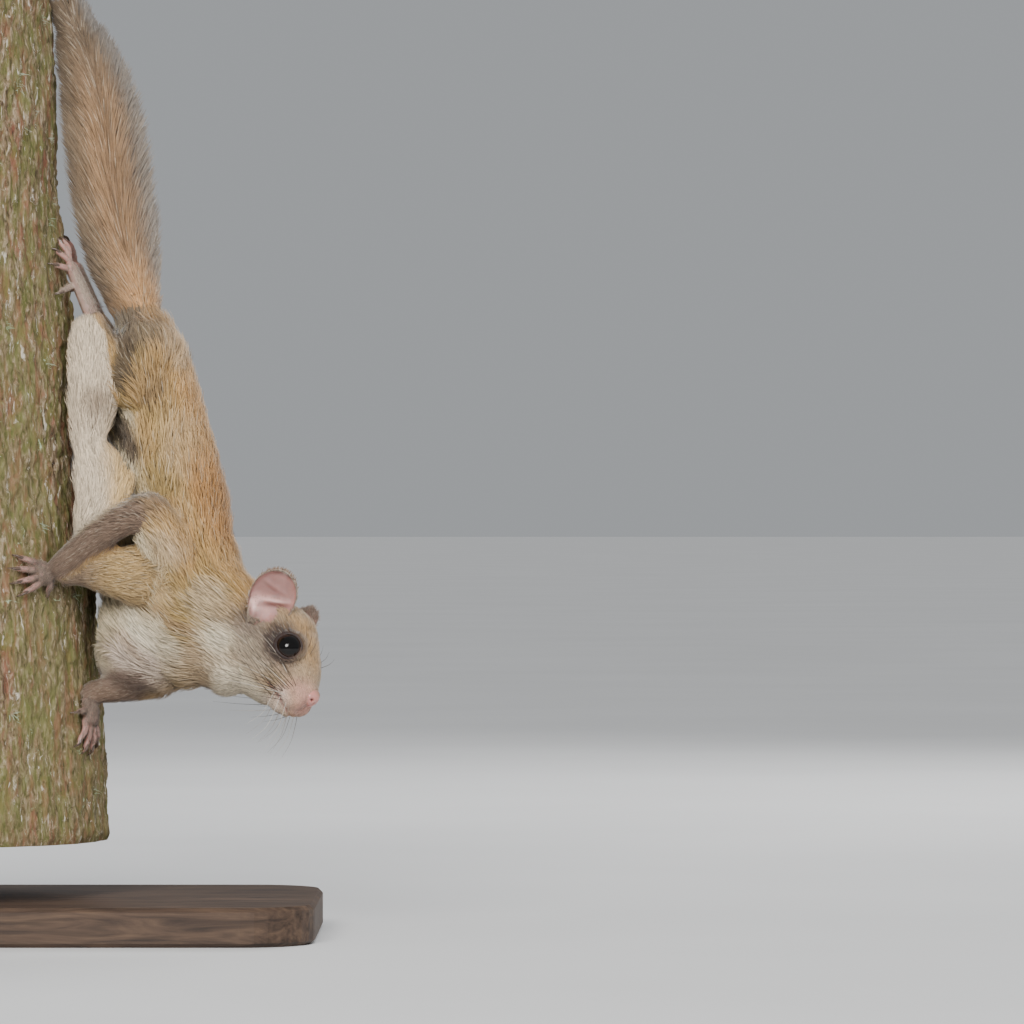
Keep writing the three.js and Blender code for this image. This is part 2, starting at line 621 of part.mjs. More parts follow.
function addNode(name, body, colour, { roughness = 0.9, metalness = 0 } = {}) {
  const { numProp, vertProperties, triVerts } = body.getMesh();
  const place = new Float32Array((vertProperties.length / numProp) * 3);
  for (let i = 0; i < place.length / 3; i++) place.set(vertProperties.subarray(i * numProp, i * numProp + 3), i * 3);
  const geometry = new THREE.BufferGeometry();
  geometry.setAttribute('position', new THREE.BufferAttribute(place, 3));
  geometry.setIndex(new THREE.BufferAttribute(new Uint32Array(triVerts), 1));
  geometry.computeVertexNormals();
  const mesh = new THREE.Mesh(geometry, new THREE.MeshStandardMaterial({ color: colour, roughness, metalness }));
  mesh.name = name;
  group.add(mesh);
}

const rodPlaces = [ROD.spread, -ROD.spread];
const rodRoom = rodPlaces.map((y) => rod(y, GAP));
addNode('stand_base', fitted(base(), rodRoom), COLOURS.stand, { roughness: 0.45 });
rodPlaces.forEach((y, i) => {
  addNode(`stand_rod_${i + 1}`, rod(y, 0), COLOURS.rod, { roughness: 0.3, metalness: 1 });
});
addNode('trunk', fitted(trunk(0), rodRoom), COLOURS.bark);

const trunkRoom = trunk(GAP);
const torsoRoom = torso(GAP);
const neckRoom = neck(GAP);
const headRoom = flesh(GAP);
const noseRoom = nose(GAP);
addNode('torso', fitted(torso(0), [trunkRoom]), COLOURS.back);
addNode('neck', fitted(neck(0), [torsoRoom]), COLOURS.back);
addNode('head', fitted(head(), [torsoRoom, neckRoom, noseRoom]), COLOURS.flank);
addNode('nose', fitted(nose(0), [nostril(SIDES.right), nostril(SIDES.left)]), COLOURS.nose, { roughness: 0.5 });
const tailRoom = tail(GAP);
addNode('tail', fitted(tail(0), [torsoRoom, trunkRoom]), COLOURS.tail);

for (const [side, sign] of Object.entries(SIDES)) {
  const arm = ARMS[side];
  const leg = LEGS[side];
  const upperArm = (grow) => segment(arm.shoulder, arm.elbow, UPPER_ARM, grow);
  const forearm = (grow) => segment(arm.elbow, arm.wrist, FOREARM, grow, { bulge: side === 'right' ? FOREARM_BOW : [0, 0, 0] });
  const thigh = (grow) => segment(leg.hip, leg.knee, THIGH, grow, { up: [1, 0, 0] });
  const shank = (grow) => segment(leg.knee, leg.ankle, SHANK, grow, { up: [1, 0, 0] });

  addNode(`eye_${side}`, eye(sign, 0), COLOURS.eye, { roughness: 0.05 });
  addNode(`ear_${side}`, fitted(ear(sign), [headRoom, neckRoom, torsoRoom]), COLOURS.skin);
  addNode(`upper_arm_${side}`, fitted(upperArm(0), [torsoRoom, neckRoom, headRoom, trunkRoom]), COLOURS.flank);
  const armRoom = [torsoRoom, neckRoom, headRoom, trunkRoom, upperArm(GAP)];
  addNode(`forearm_${side}`, fitted(forearm(0), armRoom), COLOURS.arm);
  addNode(`hand_${side}`, fitted(hand(side, 0), [...armRoom, forearm(GAP)]), COLOURS.skin);
  addNode(`thigh_${side}`, fitted(thigh(0), [torsoRoom, trunkRoom]), COLOURS.flank);
  const legRoom = [torsoRoom, trunkRoom, thigh(GAP), tailRoom];
  addNode(`shank_${side}`, fitted(shank(0), legRoom), COLOURS.flank);
  addNode(`foot_${side}`, fitted(foot(side, 0), [...legRoom, shank(GAP)]), COLOURS.skin);
  if (ARM_FOLDS[side]) {
    const foldRoom = [...armRoom, forearm(GAP), hand(side, GAP)];
    addNode(`arm_fold_${side}`, fitted(armFold(side, 0), foldRoom), COLOURS.flank);
    legRoom.push(armFold(side, GAP));
  }
  const flankRoom = [...armRoom, ...legRoom, forearm(GAP), shank(GAP), hand(side, GAP), foot(side, GAP)];
  addNode(`membrane_${side}`, fitted(membrane(side, 0), flankRoom), COLOURS.belly);
}

export default group;
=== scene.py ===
import math

import bpy
import numpy as np
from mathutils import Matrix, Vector


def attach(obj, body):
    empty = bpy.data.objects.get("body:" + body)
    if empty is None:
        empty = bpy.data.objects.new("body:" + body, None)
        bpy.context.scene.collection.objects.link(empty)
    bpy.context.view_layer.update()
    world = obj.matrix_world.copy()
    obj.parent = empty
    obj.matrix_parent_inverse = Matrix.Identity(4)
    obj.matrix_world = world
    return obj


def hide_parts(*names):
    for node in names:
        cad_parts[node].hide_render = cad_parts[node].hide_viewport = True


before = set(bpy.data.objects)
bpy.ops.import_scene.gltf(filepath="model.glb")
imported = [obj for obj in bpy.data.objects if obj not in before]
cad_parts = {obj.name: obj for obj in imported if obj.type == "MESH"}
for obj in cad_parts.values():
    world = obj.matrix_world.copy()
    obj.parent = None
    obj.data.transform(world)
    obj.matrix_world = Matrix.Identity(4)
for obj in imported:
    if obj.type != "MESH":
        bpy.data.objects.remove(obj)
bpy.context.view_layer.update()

# All places below are in millimetres; meshes are written in metres.
MM = 0.001
TURN = 2 * np.pi
SIDES = {"right": -1, "left": 1}
rng = np.random.default_rng(20240611)


# Numbers

def smooth(low, high, x):
    t = np.clip((np.asarray(x, float) - low) / (high - low), 0, 1)
    return t * t * (3 - 2 * t)


def unit(v):
    v = np.asarray(v, float)
    return v / np.maximum(np.linalg.norm(v, axis=-1, keepdims=True), 1e-9)


def size_of(rows):
    return np.linalg.norm(rows, axis=1)


def srgb(*rgb):
    c = np.asarray(rgb, float) / 255
    return np.where(c < 0.04045, c / 12.92, ((c + 0.055) / 1.055) ** 2.4)


def blend(colours, other, share):
    """Colours drawn towards another one, by a share for each place."""
    return colours + (other - colours) * np.asarray(share)[:, None]


def plain(rgb, count):
    return np.tile(srgb(*rgb), (count, 1))


def bell(*terms):
    """1 where every term is 0, falling off smoothly as they grow."""
    return np.exp(-sum(np.square(term) for term in terms))


def wave_noise(p, scale, seed, octaves=3):
    """Smooth noise of about -1 to 1 from sums of sines; scale is the size of its patches in mm."""
    local = np.random.default_rng(seed)
    total = np.zeros(len(p))
    weight = 1.0
    for _ in range(octaves):
        for _ in range(4):
            direction = unit(local.normal(size=3))
            total += weight * np.sin(p @ direction * (6.283 / scale) + local.uniform(0, 6.283))
        scale *= 0.52
        weight *= 0.6
    return total / (2.6 * octaves ** 0.5)


def spline(points, t):
    """Catmull-Rom through rows of numbers, t from 0 to 1."""
    p = np.asarray(points, float)
    n = len(p)
    t = np.clip(np.atleast_1d(np.asarray(t, float)), 0, 1) * (n - 1)
    i = np.minimum(t.astype(int), n - 2)
    f = (t - i)[:, None]
    a, b = p[i], p[i + 1]
    before = np.where((i > 0)[:, None], p[np.maximum(i - 1, 0)], 2 * a - b)
    after = np.where((i < n - 2)[:, None], p[np.minimum(i + 2, n - 1)], 2 * b - a)
    return 0.5 * (2 * a + (b - before) * f + (2 * before - 5 * a + 4 * b - after) * f**2
                  + (3 * a - before - 3 * b + after) * f**3)


def tangents(points, t):
    return unit(spline(points, np.clip(t + 0.004, 0, 1)) - spline(points, np.clip(t - 0.004, 0, 1)))


def flattened(way, normal):
    """Directions laid into the surface that has these normals."""
    return way - (way * normal).sum(-1, keepdims=True) * normal


# Meshes

def grid_faces(rows, around, ring=False):
    """Quads between closed rings of points; with ring, the last row also joins the first."""
    i, j = np.meshgrid(np.arange(rows if ring else rows - 1), np.arange(around), indexing="ij")
    at = lambda q, w: (q % rows * around + w % around).ravel()
    return np.stack([at(i, j), at(i, j + 1), at(i + 1, j + 1), at(i + 1, j)], 1)


def tube_faces(rows, sides):
    """Triangles of a closed tube: its wall, then a fan over each end."""
    quads = grid_faces(rows, sides)
    fan = np.arange(1, sides - 1)
    end = (rows - 1) * sides
    return np.concatenate([quads[:, [0, 1, 2]], quads[:, [0, 2, 3]], np.stack([0 * fan, fan + 1, fan], 1),
                           np.stack([0 * fan + end, end + fan, end + fan + 1], 1)])


def loft(stations, rings=40, sides=32, ends=(0.5, 0.5), up=(0, 0, 1)):
    """A closed tube through stations (x, y, z, half width, half height above, half height below).

    The last two may be left out. Domes close the ends, each as long as its share of the end's size.
    """
    s = np.array([tuple(row) + (row[-1],) * (6 - len(row)) for row in stations], float)
    dome = 6
    first, last = s[0, 3:].min() * ends[0], s[-1, 3:].min() * ends[1]
    t = np.concatenate([np.zeros(dome), np.linspace(0, 1, rings), np.ones(dome)])
    rise, fall = (np.arange(dome) / dome * np.pi / 2, (np.arange(dome) / dome + 1 / dome) * np.pi / 2)
    out = np.concatenate([-first * np.cos(rise), np.zeros(rings), last * np.sin(fall)])
    scale = np.maximum(np.concatenate([np.sin(rise), np.ones(rings), np.cos(fall)]), 0.02)[:, None]
    along = tangents(s[:, :3], t)
    size = spline(s[:, 3:], t)
    back = unit(flattened(np.array(up, float), along))
    across = np.cross(back, along)
    angle = np.arange(sides) * TURN / sides
    high = np.where(np.sin(angle)[None, :] > 0, size[:, 1:2], size[:, 2:3])
    centre = spline(s[:, :3], t) + along * out[:, None]
    points = centre[:, None, :] + across[:, None, :] * (size[:, 0:1] * scale * np.cos(angle))[..., None] \
        + back[:, None, :] * (high * scale * np.sin(angle))[..., None]
    return points.reshape(-1, 3), tube_faces(len(t), sides)


def egg(at, size, across=28, down=18):
    """An ellipsoid of three half sizes."""
    u, w = np.meshgrid(np.arange(across) * TURN / across, np.linspace(0.02, np.pi - 0.02, down), indexing="ij")
    v = np.stack([np.cos(u) * np.sin(w), np.sin(u) * np.sin(w), np.cos(w)], -1).reshape(-1, 3)
    i, j = np.meshgrid(np.arange(across), np.arange(down - 1), indexing="ij")
    a = (i * down + j).ravel()
    b = (((i + 1) % across) * down + j).ravel()
    fan = np.arange(1, across - 1) * down
    caps = [np.stack([0 * fan, fan + down, fan], 1), np.stack([0 * fan, fan, fan + down], 1) + down - 1]
    faces = np.concatenate([np.stack([a, a + 1, b + 1], 1), np.stack([a, b + 1, b], 1)] + caps)
    return v * np.asarray(size) + np.asarray(at), faces


def merged(parts):
    start, vs, fs = 0, [], []
    for v, f in parts:
        vs.append(v)
        fs.append(np.asarray(f) + start)
        start += len(v)
    return np.concatenate(vs), np.concatenate(fs)


def summed(index, rows, count):
    """The sum of the rows that belong to each index."""
    return np.stack([np.bincount(index, rows[:, axis], count) for axis in range(3)], 1)


def normals(v, f):
    n = np.zeros_like(v)
    for k in range(1, f.shape[1] - 1):
        face = np.cross(v[f[:, k]] - v[f[:, 0]], v[f[:, k + 1]] - v[f[:, 0]])
        for c in range(f.shape[1]):
            n += summed(f[:, c], face, len(v))
    return unit(n)


def facing_out(v, f):
    """The same faces, turned so that they look outwards."""
    v = v - v.mean(0)
    a, b, c = v[f[:, 0]], v[f[:, 1]], v[f[:, 2]]
    volume = (a * np.cross(b, c)).sum()
    if f.shape[1] == 4:
        volume += (a * np.cross(c, v[f[:, 3]])).sum()
    return f if volume > 0 else f[:, ::-1]


def read(rows, key, width, kind=np.float64):
    """One attribute of a mesh's vertices, loops or triangles."""
    found = np.empty(len(rows) * width, dtype=kind)
    rows.foreach_get(key, found)
    return found.reshape(-1, width)


def cad(node, swell):
    """A CAD node's surface, welded, pushed out by swell."""
    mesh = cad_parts[node].data
    mesh.calc_loop_triangles()
    v = read(mesh.vertices, "co", 3) / MM
    f = read(mesh.loop_triangles, "vertices", 3, np.int64)
    _, first, back = np.unique(np.round(v, 3), axis=0, return_index=True, return_inverse=True)
    v, f = v[first], back.ravel()[f]
    f = f[(f[:, 0] != f[:, 1]) & (f[:, 1] != f[:, 2]) & (f[:, 0] != f[:, 2])]
    return v + normals(v, f) * swell, f


def build_mesh(name, v, f):
    v, f = np.asarray(v, float), np.asarray(f)
    mesh = bpy.data.meshes.new(name)
    mesh.vertices.add(len(v))
    mesh.vertices.foreach_set("co", (v * MM).astype(np.float32).ravel())
    mesh.loops.add(f.size)
    mesh.loops.foreach_set("vertex_index", f.astype(np.int32).ravel())
    mesh.polygons.add(len(f))
    mesh.polygons.foreach_set("loop_start", (np.arange(len(f)) * f.shape[1]).astype(np.int32))
    mesh.update(calc_edges=True)
    mesh.shade_smooth()
    return mesh


def placed(name, data):
    obj = bpy.data.objects.new(name, data)
    bpy.context.scene.collection.objects.link(obj)
    return obj


def piece(name, v, f, slot, material, replaces=(), colours=None, uv=None, facing=None):
    """A visible piece; colours, uv and facing (its normals) have one row for each vertex."""
    mesh = build_mesh(name, v, f)
    if facing is not None:
        mesh.normals_split_custom_set_from_vertices(facing.tolist())
    if colours is not None:
        rgba = np.ones((len(v), 4), np.float32)
        rgba[:, :3] = np.clip(colours, 0, 1)
        mesh.color_attributes.new("Col", "FLOAT_COLOR", "POINT").data.foreach_set("color", rgba.ravel())
    if uv is not None:
        corner = np.asarray(uv)[read(mesh.loops, "vertex_index", 1, np.int32).ravel()]
        mesh.uv_layers.new(name="OFBake").data.foreach_set("uv", corner.astype(np.float32).ravel())
    mesh.materials.append(material)
    obj = placed(name, mesh)
    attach(obj, "root")
    if replaces:
        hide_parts(*replaces)


def remeshed(v, f, voxel):
    """One closed surface round all the given ones: its largest body."""
    obj = placed("remesh", build_mesh("remesh", v, f))
    modifier = obj.modifiers.new("remesh", "REMESH")
    modifier.mode = "VOXEL"
    modifier.voxel_size = voxel * MM
    made = obj.evaluated_get(bpy.context.evaluated_depsgraph_get())
    mesh = made.to_mesh()
    co = read(mesh.vertices, "co", 3) / MM
    quads = read(mesh.loops, "vertex_index", 1, np.int64).reshape(-1, 4)
    made.to_mesh_clear()
    bpy.data.objects.remove(obj)
    return largest(co, quads)


def largest(v, f):
    label = np.arange(len(v))
    while True:
        low = label[f].min(axis=1)
        new = label.copy()
        for c in range(f.shape[1]):
            np.minimum.at(new, f[:, c], low)
        new = new[new]
        if (new == label).all():
            break
        label = new
    keep = label == np.bincount(label).argmax()
    index = np.cumsum(keep) - 1
    return v[keep], index[f[keep[f[:, 0]]]]


def relaxed(v, f, rounds, weight=0.5):
    """Laplacian smoothing; weight is one number or one for each vertex."""
    count, after = len(v), np.roll(f, -1, axis=1)
    a = np.concatenate([f.T.ravel(), after.T.ravel()])
    b = np.concatenate([after.T.ravel(), f.T.ravel()])
    near = np.maximum(np.bincount(a, minlength=count), 1)[:, None]
    weight = np.broadcast_to(np.asarray(weight, float), (count,))[:, None]
    for _ in range(rounds):
        v = v + weight * (summed(a, v[b], count) / near - v)
    return v


# The head's frame: x forward from the front of the muzzle, y to the animal's left, z to the crown.
MUZZLE = np.array([112.0, -47.5, 91.0])
FORWARD = unit([0.563, -0.5, -0.658])
ROLL = math.radians(-4)


def head_axes():
    crown = np.array([0.76, 0, 0.65])
    crown = unit(crown - crown @ FORWARD * FORWARD)
    crown = crown * math.cos(ROLL) + np.cross(FORWARD, crown) * math.sin(ROLL)
    return np.array([FORWARD, np.cross(crown, FORWARD), crown])


HEAD = head_axes()
SKULL = [
    (-41, 0, 1.5, 13.6, 17.0, 21.5), (-34, 0, 1.5, 14.8, 19.2, 21.5), (-26, 0, 1.0, 14.8, 19.6, 19.6),
    (-18.5, 0, 0.5, 12.9, 16.6, 16.4), (-11.5, 0, 0, 9.8, 13.0, 13.0), (-6, 0, -0.5, 7.6, 9.8, 9.4),
    (-1.8, 0, -0.5, 5.2, 6.6, 6.2),
]
EYE_AT, EYE_RADIUS = (-18.6, 9.9, 7.4), 5.5
EYE_OUT = (0.3, 0.92, 0.25)
NOSE_AT, NOSE_SIZE = (-0.4, 0, 3.4), (2.1, 3.1, 2.7)
PAD_AT, PAD_SIZE = (-4.8, 3.3, -2.6), (5.6, 4.4, 5.0)
CHIN_AT, CHIN_SIZE = (-9.4, 0, -8.2), (6.4, 5.0, 3.4)
MOUTH_FRONT, MOUTH_CORNER = (-2.0, -8.0), (-15.0, -6.4)
EAR_ROOT, EAR_UP, EAR_OPEN = (-35.1, 11.2, 6.3), (-0.31, 0.3, 0.87), (0.5, 0.86, 0.05)


def in_head(p):
    return np.asarray(p, float) @ HEAD + MUZZLE


def to_head(p):
    return (np.asarray(p, float) - MUZZLE) @ HEAD.T


def mirrored(p, side):
    return np.array([p[0], p[1] * side, p[2]], float)


# The body's lines, root to tip of the hair that lies along them. A row is a place on the line, the body's radius
# there, and the coat: its length, how far it stands out, and the half width of a tuft.
ARM_COAT = [(12.5, 7.5, 1.8, 0.36), (7.2, 5.2, 1.2, 0.28), (5.8, 4.2, 0.9, 0.22), (4.0, 2.6, 0.5, 0.16)]
LEG_COAT = [(15, 9.0, 2.2, 0.40), (8.5, 7.0, 1.6, 0.34), (5.8, 5.0, 1.0, 0.26), (4.0, 3.2, 0.6, 0.18),
            (4.4, 2.4, 0.4, 0.15)]
WEB_COAT = (6.6, 1.1, 0.32)


def dressed(places, coat):
    return [place + values for place, values in zip(places, coat)]


LINES = {
    "spine": [
        (112, -47.5, 91, 5, 1.2, 0.20, 0.13), (106.5, -42.6, 97.5, 9, 2.0, 0.35, 0.16),
        (101, -37.5, 104, 13, 3.2, 0.7, 0.22), (95, -32, 111, 16, 4.6, 1.1, 0.27),
        (88.9, -27, 118, 18, 6.4, 1.6, 0.31), (75, -24.5, 124, 21, 8.4, 2.1, 0.35),
        (66, -20, 131, 24, 9.0, 2.3, 0.37), (59.8, -15.5, 147, 25, 9.2, 2.4, 0.38),
        (56.8, -11, 166, 25, 9.4, 2.4, 0.38), (54.4, -7, 185, 24, 9.6, 2.4, 0.38),
        (52.3, -4, 204, 24, 9.8, 2.4, 0.38), (50.4, -2, 219, 22, 10.0, 2.4, 0.39),
        (46.8, 0, 232, 17, 10.6, 2.2, 0.42), (44, 1, 240, 12, 12.5, 1.7, 0.42),
        (42.6, 2, 249, 9, 13.5, 1.2, 0.40)],
    "arm_right": dressed([(62, -31, 137), (51.8, -41, 165), (34.4, -44.2, 156.8), (17.0, -47.4, 143.4)], ARM_COAT),
    "arm_left": dressed([(66, -6, 122), (54.5, -8, 99), (40, -16.8, 96.6), (25.6, -25.5, 94.2)], ARM_COAT),
    "leg_right": dressed([(50, -8, 224), (43, -20.5, 207.5), (36, -19, 222), (28.6, -17.5, 238.2),
                          (24, -15.6, 248)], LEG_COAT),
    "leg_left": dressed([(50, 9, 224), (42, 22.5, 208), (35, 21, 223), (28.0, 19.5, 239.0), (24, 17.6, 249)],
                        LEG_COAT),
    "web_right": [
        (28.0, -41.5, 153, 6, 5.0, 0.9, 0.28), (35.0, -37.0, 169, 11, 6.4, 1.1, 0.32),
        (30.8, -31.5, 183, 9) + WEB_COAT, (28.1, -27.5, 197, 8) + WEB_COAT, (29.0, -26.5, 206, 9.5) + WEB_COAT,
        (28.4, -25.0, 215, 9, 6.4, 1.1, 0.32), (27.0, -23.0, 226, 8, 6.0, 1.0, 0.30),
        (25.4, -20.5, 234.5, 6, 5.4, 0.9, 0.28)],
    "web_left": [
        (39.0, -2.0, 120, 6, 5.4, 0.9, 0.28), (37.0, 4.0, 136, 8, 6.4, 1.1, 0.32),
        (34.6, 10.0, 152, 9) + WEB_COAT, (31.0, 18.0, 188, 7) + WEB_COAT, (31.4, 21.5, 204, 8.5) + WEB_COAT,
        (31.2, 22.5, 219, 8, 6.4, 1.1, 0.32), (28.2, 20.5, 235, 5, 5.4, 0.9, 0.28)],
    "fold_right": [(18.8, -45.4, 137.8, 2.4, 3.6, 0.7, 0.2), (33.4, -42.6, 141.4, 8, 5.4, 1.1, 0.28),
                   (52.0, -32.0, 138.0, 12, 7.0, 1.6, 0.34)],
}
LINE_NAMES = list(LINES)
FINER = 0.66  # of the half widths above
MELT = 1.6  # how far, in mm, one line's coat runs into the next


def path_of(name):
    return np.array(LINES[name], float)[:, :3]


def weight_of(weights, *names):
    return weights[[LINE_NAMES.index(name) for name in names]].sum(0)


def nearest(p, a, b):
    """How far along the run from a to b each place is, 0 to 1."""
    run = b - a
    return np.clip((p - a) @ run / (run @ run), 0, 1)


def coat_values(p):
    """For each place: the lines' weights, the hair's direction, its values, and the share along each line."""
    found = []
    for name in LINE_NAMES:
        nodes = np.array(LINES[name], float)
        best, share = np.full(len(p), 1e9), np.zeros(len(p))
        way, value = np.zeros((len(p), 3)), np.zeros((len(p), 4))
        turns = tangents(nodes[:, :3], np.linspace(0, 1, len(nodes)))
        for k in range(len(nodes) - 1):
            a, b = nodes[k], nodes[k + 1]
            t = nearest(p, a[:3], b[:3])
            here = a + (b - a) * t[:, None]
            gap = size_of(p - here[:, :3]) - here[:, 3]
            closer = gap < best
            best[closer], share[closer] = gap[closer], ((k + t) / (len(nodes) - 1))[closer]
            way[closer] = (turns[k] + (turns[k + 1] - turns[k]) * t[:, None])[closer]
            value[closer] = here[closer][:, 3:]
        found.append((best, unit(way), value, share))
    gaps, ways, values, shares = (np.array(each) for each in zip(*found))
    weights = np.exp(-(gaps - gaps.min(axis=0)) / MELT)
    weights /= weights.sum(axis=0)
    for name in ("leg_right", "leg_left"):
        i = LINE_NAMES.index(name)
        hip = (0.8 * (1 - smooth(0.16, 0.34, shares[i])))[:, None]
        ways[i] = unit(ways[i] * (1 - hip) + ways[0] * hip)
    values[:, :, 3] *= FINER
    value = np.einsum("ij,ijk->jk", weights, values)
    return weights, unit(np.einsum("ij,ijk->jk", weights, ways)), value, shares


def to_line(p, name):
    """The share along a line of the place on it nearest to each p."""
    nodes = path_of(name)
    best, share = np.full(len(p), 1e9), np.zeros(len(p))
    for k in range(len(nodes) - 1):
        t = nearest(p, nodes[k], nodes[k + 1])
        gap = size_of(p - nodes[k] - (nodes[k + 1] - nodes[k]) * t[:, None])
        share = np.where(gap < best, (k + t) / (len(nodes) - 1), share)
        best = np.minimum(best, gap)
    return share


# Colours
TAN = srgb(204, 164, 114)
OLIVE = srgb(172, 146, 100)
CREAM = srgb(236, 220, 188)

# Patches of colour as the animal is seen from its side: X, Z, half sizes, tilt in degrees, colour, strength. Most
# are the coat's own colour; one is a painted highlight and three thin dark lines are painted shade in folds.
PATCHES = [
    (72, 200, 9, 16, 14, (208, 164, 116), 0.65),
    # painted highlight on the back
    (62, 222, 6, 10, 14, (214, 188, 156), 0.6),
    (64, 184, 10, 16, 12, (206, 176, 138), 0.65),
    (77, 166, 10, 20, 17, (190, 144, 98), 0.8),
    (48, 187, 6, 12, 6, (190, 156, 110), 0.8),
    (52, 209, 8, 12, 8, (174, 144, 104), 0.8),
    (47, 232, 14, 11, -15, (134, 118, 98), 0.9),
    (53, 243, 7, 9, 0, (190, 152, 110), 0.8),
    # a thin dark line along the fold in front of the thigh: painted shade in the crease
    (53, 206, 2.6, 9, -37, (122, 100, 76), 0.6),
    (57, 159, 13, 8, 0, (204, 170, 126), 0.6),
    (81, 163, 6, 19, 15, (176, 130, 82), 0.7),
    (47, 130, 19, 11, -12, (206, 176, 136), 0.85),
    (57, 146, 12, 9, -10, (224, 200, 170), 0.55),
    (77, 128, 9, 9, -20, (218, 198, 170), 0.55),
    # a thin darker line along the edge of the fold above the chest: painted shade
    (64, 119, 14, 2.4, -20, (158, 132, 104), 0.7),
    (47, 105, 20, 11, -10, (222, 204, 188), 0.95),
    (53, 115, 31, 6.5, -33, (242, 230, 206), 0.9),
    # a thin darker line along a fold of the chest: painted shade
    (46, 109, 11, 2.0, -38, (172, 150, 128), 0.6),
]
# Patches that lie over every part but the membranes: the rump's grey-brown, then painted shade at the front of the
# hip and painted shadow in the fold behind the membrane.
RUMP_AND_PAINTED_SHADE = [
    (41, 236, 9, 8, 0, (126, 110, 92), 0.9),
    # painted shade along the front of the hip, where the thigh meets the body
    (42.5, 218, 4.5, 15, -6, (86, 74, 62), 0.85),
    # painted shadow in the hollow between the membrane's fold and the flank
    (41.5, 187, 4.2, 11, 20, (78, 62, 50), 0.9),
]
# The same for the head, in its own frame: place, half sizes, colour, strength.
FACE = [
    ((-20, 0, 14), (20, 14, 8), (196, 160, 118), 0.85),
    ((-38, 0, 16), (10, 16, 10), (188, 150, 108), 0.8),
    ((-24, 13, -3), (12, 8, 9), (186, 170, 150), 0.85),
    ((-34, 13, 2), (9, 8, 7), (140, 124, 112), 0.75),
    ((-20, 0, -16), (24, 14, 9), (238, 224, 200), 0.95),
    ((-42, 7, -10), (14, 13, 9), (240, 228, 204), 0.9),
    ((-10, 0, 6), (8, 8, 5), (190, 160, 132), 0.7),
    ((-13, 9.5, 2.5), (5.5, 6, 4.5), (146, 124, 110), 0.5),
    ((-5, 0, -1), (10, 9, 8), (216, 168, 154), 0.95),
    ((-6, 3, -5), (6, 6, 4), (244, 220, 208), 0.7),
    ((-8, 0, -9), (7, 6, 4), (240, 216, 198), 0.9),
    ((-19.4, 12, 7.0), (10.4, 8, 9.6), (122, 104, 92), 0.75),
    ((-19.0, 12, 7.2), (8.2, 7, 7.8), (58, 44, 42), 0.97),
]


def patched(c, p, patches, share):
    """Adds patches of colour that are laid on from the side."""
    for x, z, a, b, tilt, colour, strength in patches:
        cos, sin = math.cos(math.radians(tilt)), math.sin(math.radians(tilt))
        u, v = p[:, 0] - x, p[:, 2] - z
        gap = np.sqrt(((u * cos + v * sin) / a) ** 2 + ((-u * sin + v * cos) / b) ** 2)
        c = blend(c, srgb(*colour), (1 - smooth(0.55, 1.25, gap)) * strength * share)
    return c


def vivid(c, by=1.15):
    grey = (c @ np.array([0.25, 0.62, 0.13]))[:, None]
    return np.clip(0.97 * (grey + (c - grey) * by), 0.004, 1)


def markings(p, n, weights):
    """The coat's colour at places p with outward normals n, the same for the skin and for each tuft."""
    ventral = 1 - smooth(-0.62, -0.2, n[:, 0])
    c = OLIVE + (TAN - OLIVE) * smooth(-0.1, 0.7, n[:, 0])[:, None]
    c = patched(blend(c, CREAM, ventral), p, PATCHES, 1 - 0.8 * ventral)
    c = limb_colours(c, p, n, weights)
    webs = weight_of(weights, "web_left", "web_right")
    shank = smooth(0.62, 0.75, to_line(p, "leg_right")) * weight_of(weights, "leg_right")
    c = patched(c, p, RUMP_AND_PAINTED_SHADE, (1 - smooth(0.3, 0.6, webs)) * (1 - np.clip(shank * 1.5, 0, 1)))
    q = to_head(p)
    out = np.abs(q)
    inside = smooth(-46, -36, q[:, 0]) * (1 - smooth(20, 30, out[:, 1])) * (1 - smooth(26, 34, out[:, 2]))
    face = plain((190, 166, 136), len(p))
    for at, size, colour, strength in FACE:
        gap = (np.stack([q[:, 0], out[:, 1] if at[1] else q[:, 1], q[:, 2]], 1) - at) / size
        face = blend(face, srgb(*colour), (1 - smooth(0.6, 1.2, size_of(gap))) * strength)
    return vivid(blend(c, face, inside))


def limb_colours(c, p, n, weights):
    for side in SIDES:
        near = side == "right"
        k = to_line(p, "arm_" + side)
        lower = smooth(0.24, 0.40, k) if near else smooth(0.42, 0.58, k) * smooth(105, 100, p[:, 2])
        forearm = smooth(0.4, 0.75, weight_of(weights, "arm_" + side)) * lower
        c = blend(c, srgb(132, 112, 100), forearm * 0.92)
        edge = smooth(0.60, 0.92, n[:, 2]) if near else smooth(0.35, 0.8, -n[:, 0])
        c = blend(c, srgb(226, 214, 200), forearm * edge * 0.85)
        grey = bell((p[:, 2] - 202) / 7, (p[:, 0] - 31) / 7)
        under = blend(plain((236, 217, 192), len(p)), srgb(140, 122, 106), grey * 0.8)
        under = blend(under, srgb(226, 190, 136), 0.9 * smooth(31, 41, p[:, 0]) * smooth(200, 190, p[:, 2]))
        c = blend(c, under, smooth(0.35, 0.7, weight_of(weights, "web_" + side)) * 0.95)
        shank = smooth(0.4, 0.8, weight_of(weights, "leg_" + side)) * smooth(0.62, 0.85, to_line(p, "leg_" + side))
        c = blend(c, srgb(178, 158, 144), shank)
    fold = smooth(0.4, 0.8, weight_of(weights, "fold_right"))
    c = blend(c, srgb(202, 172, 128), fold * 0.8)
    return blend(c, srgb(128, 110, 98), fold * smooth(36, 22, p[:, 0]) * 0.85)


# Materials

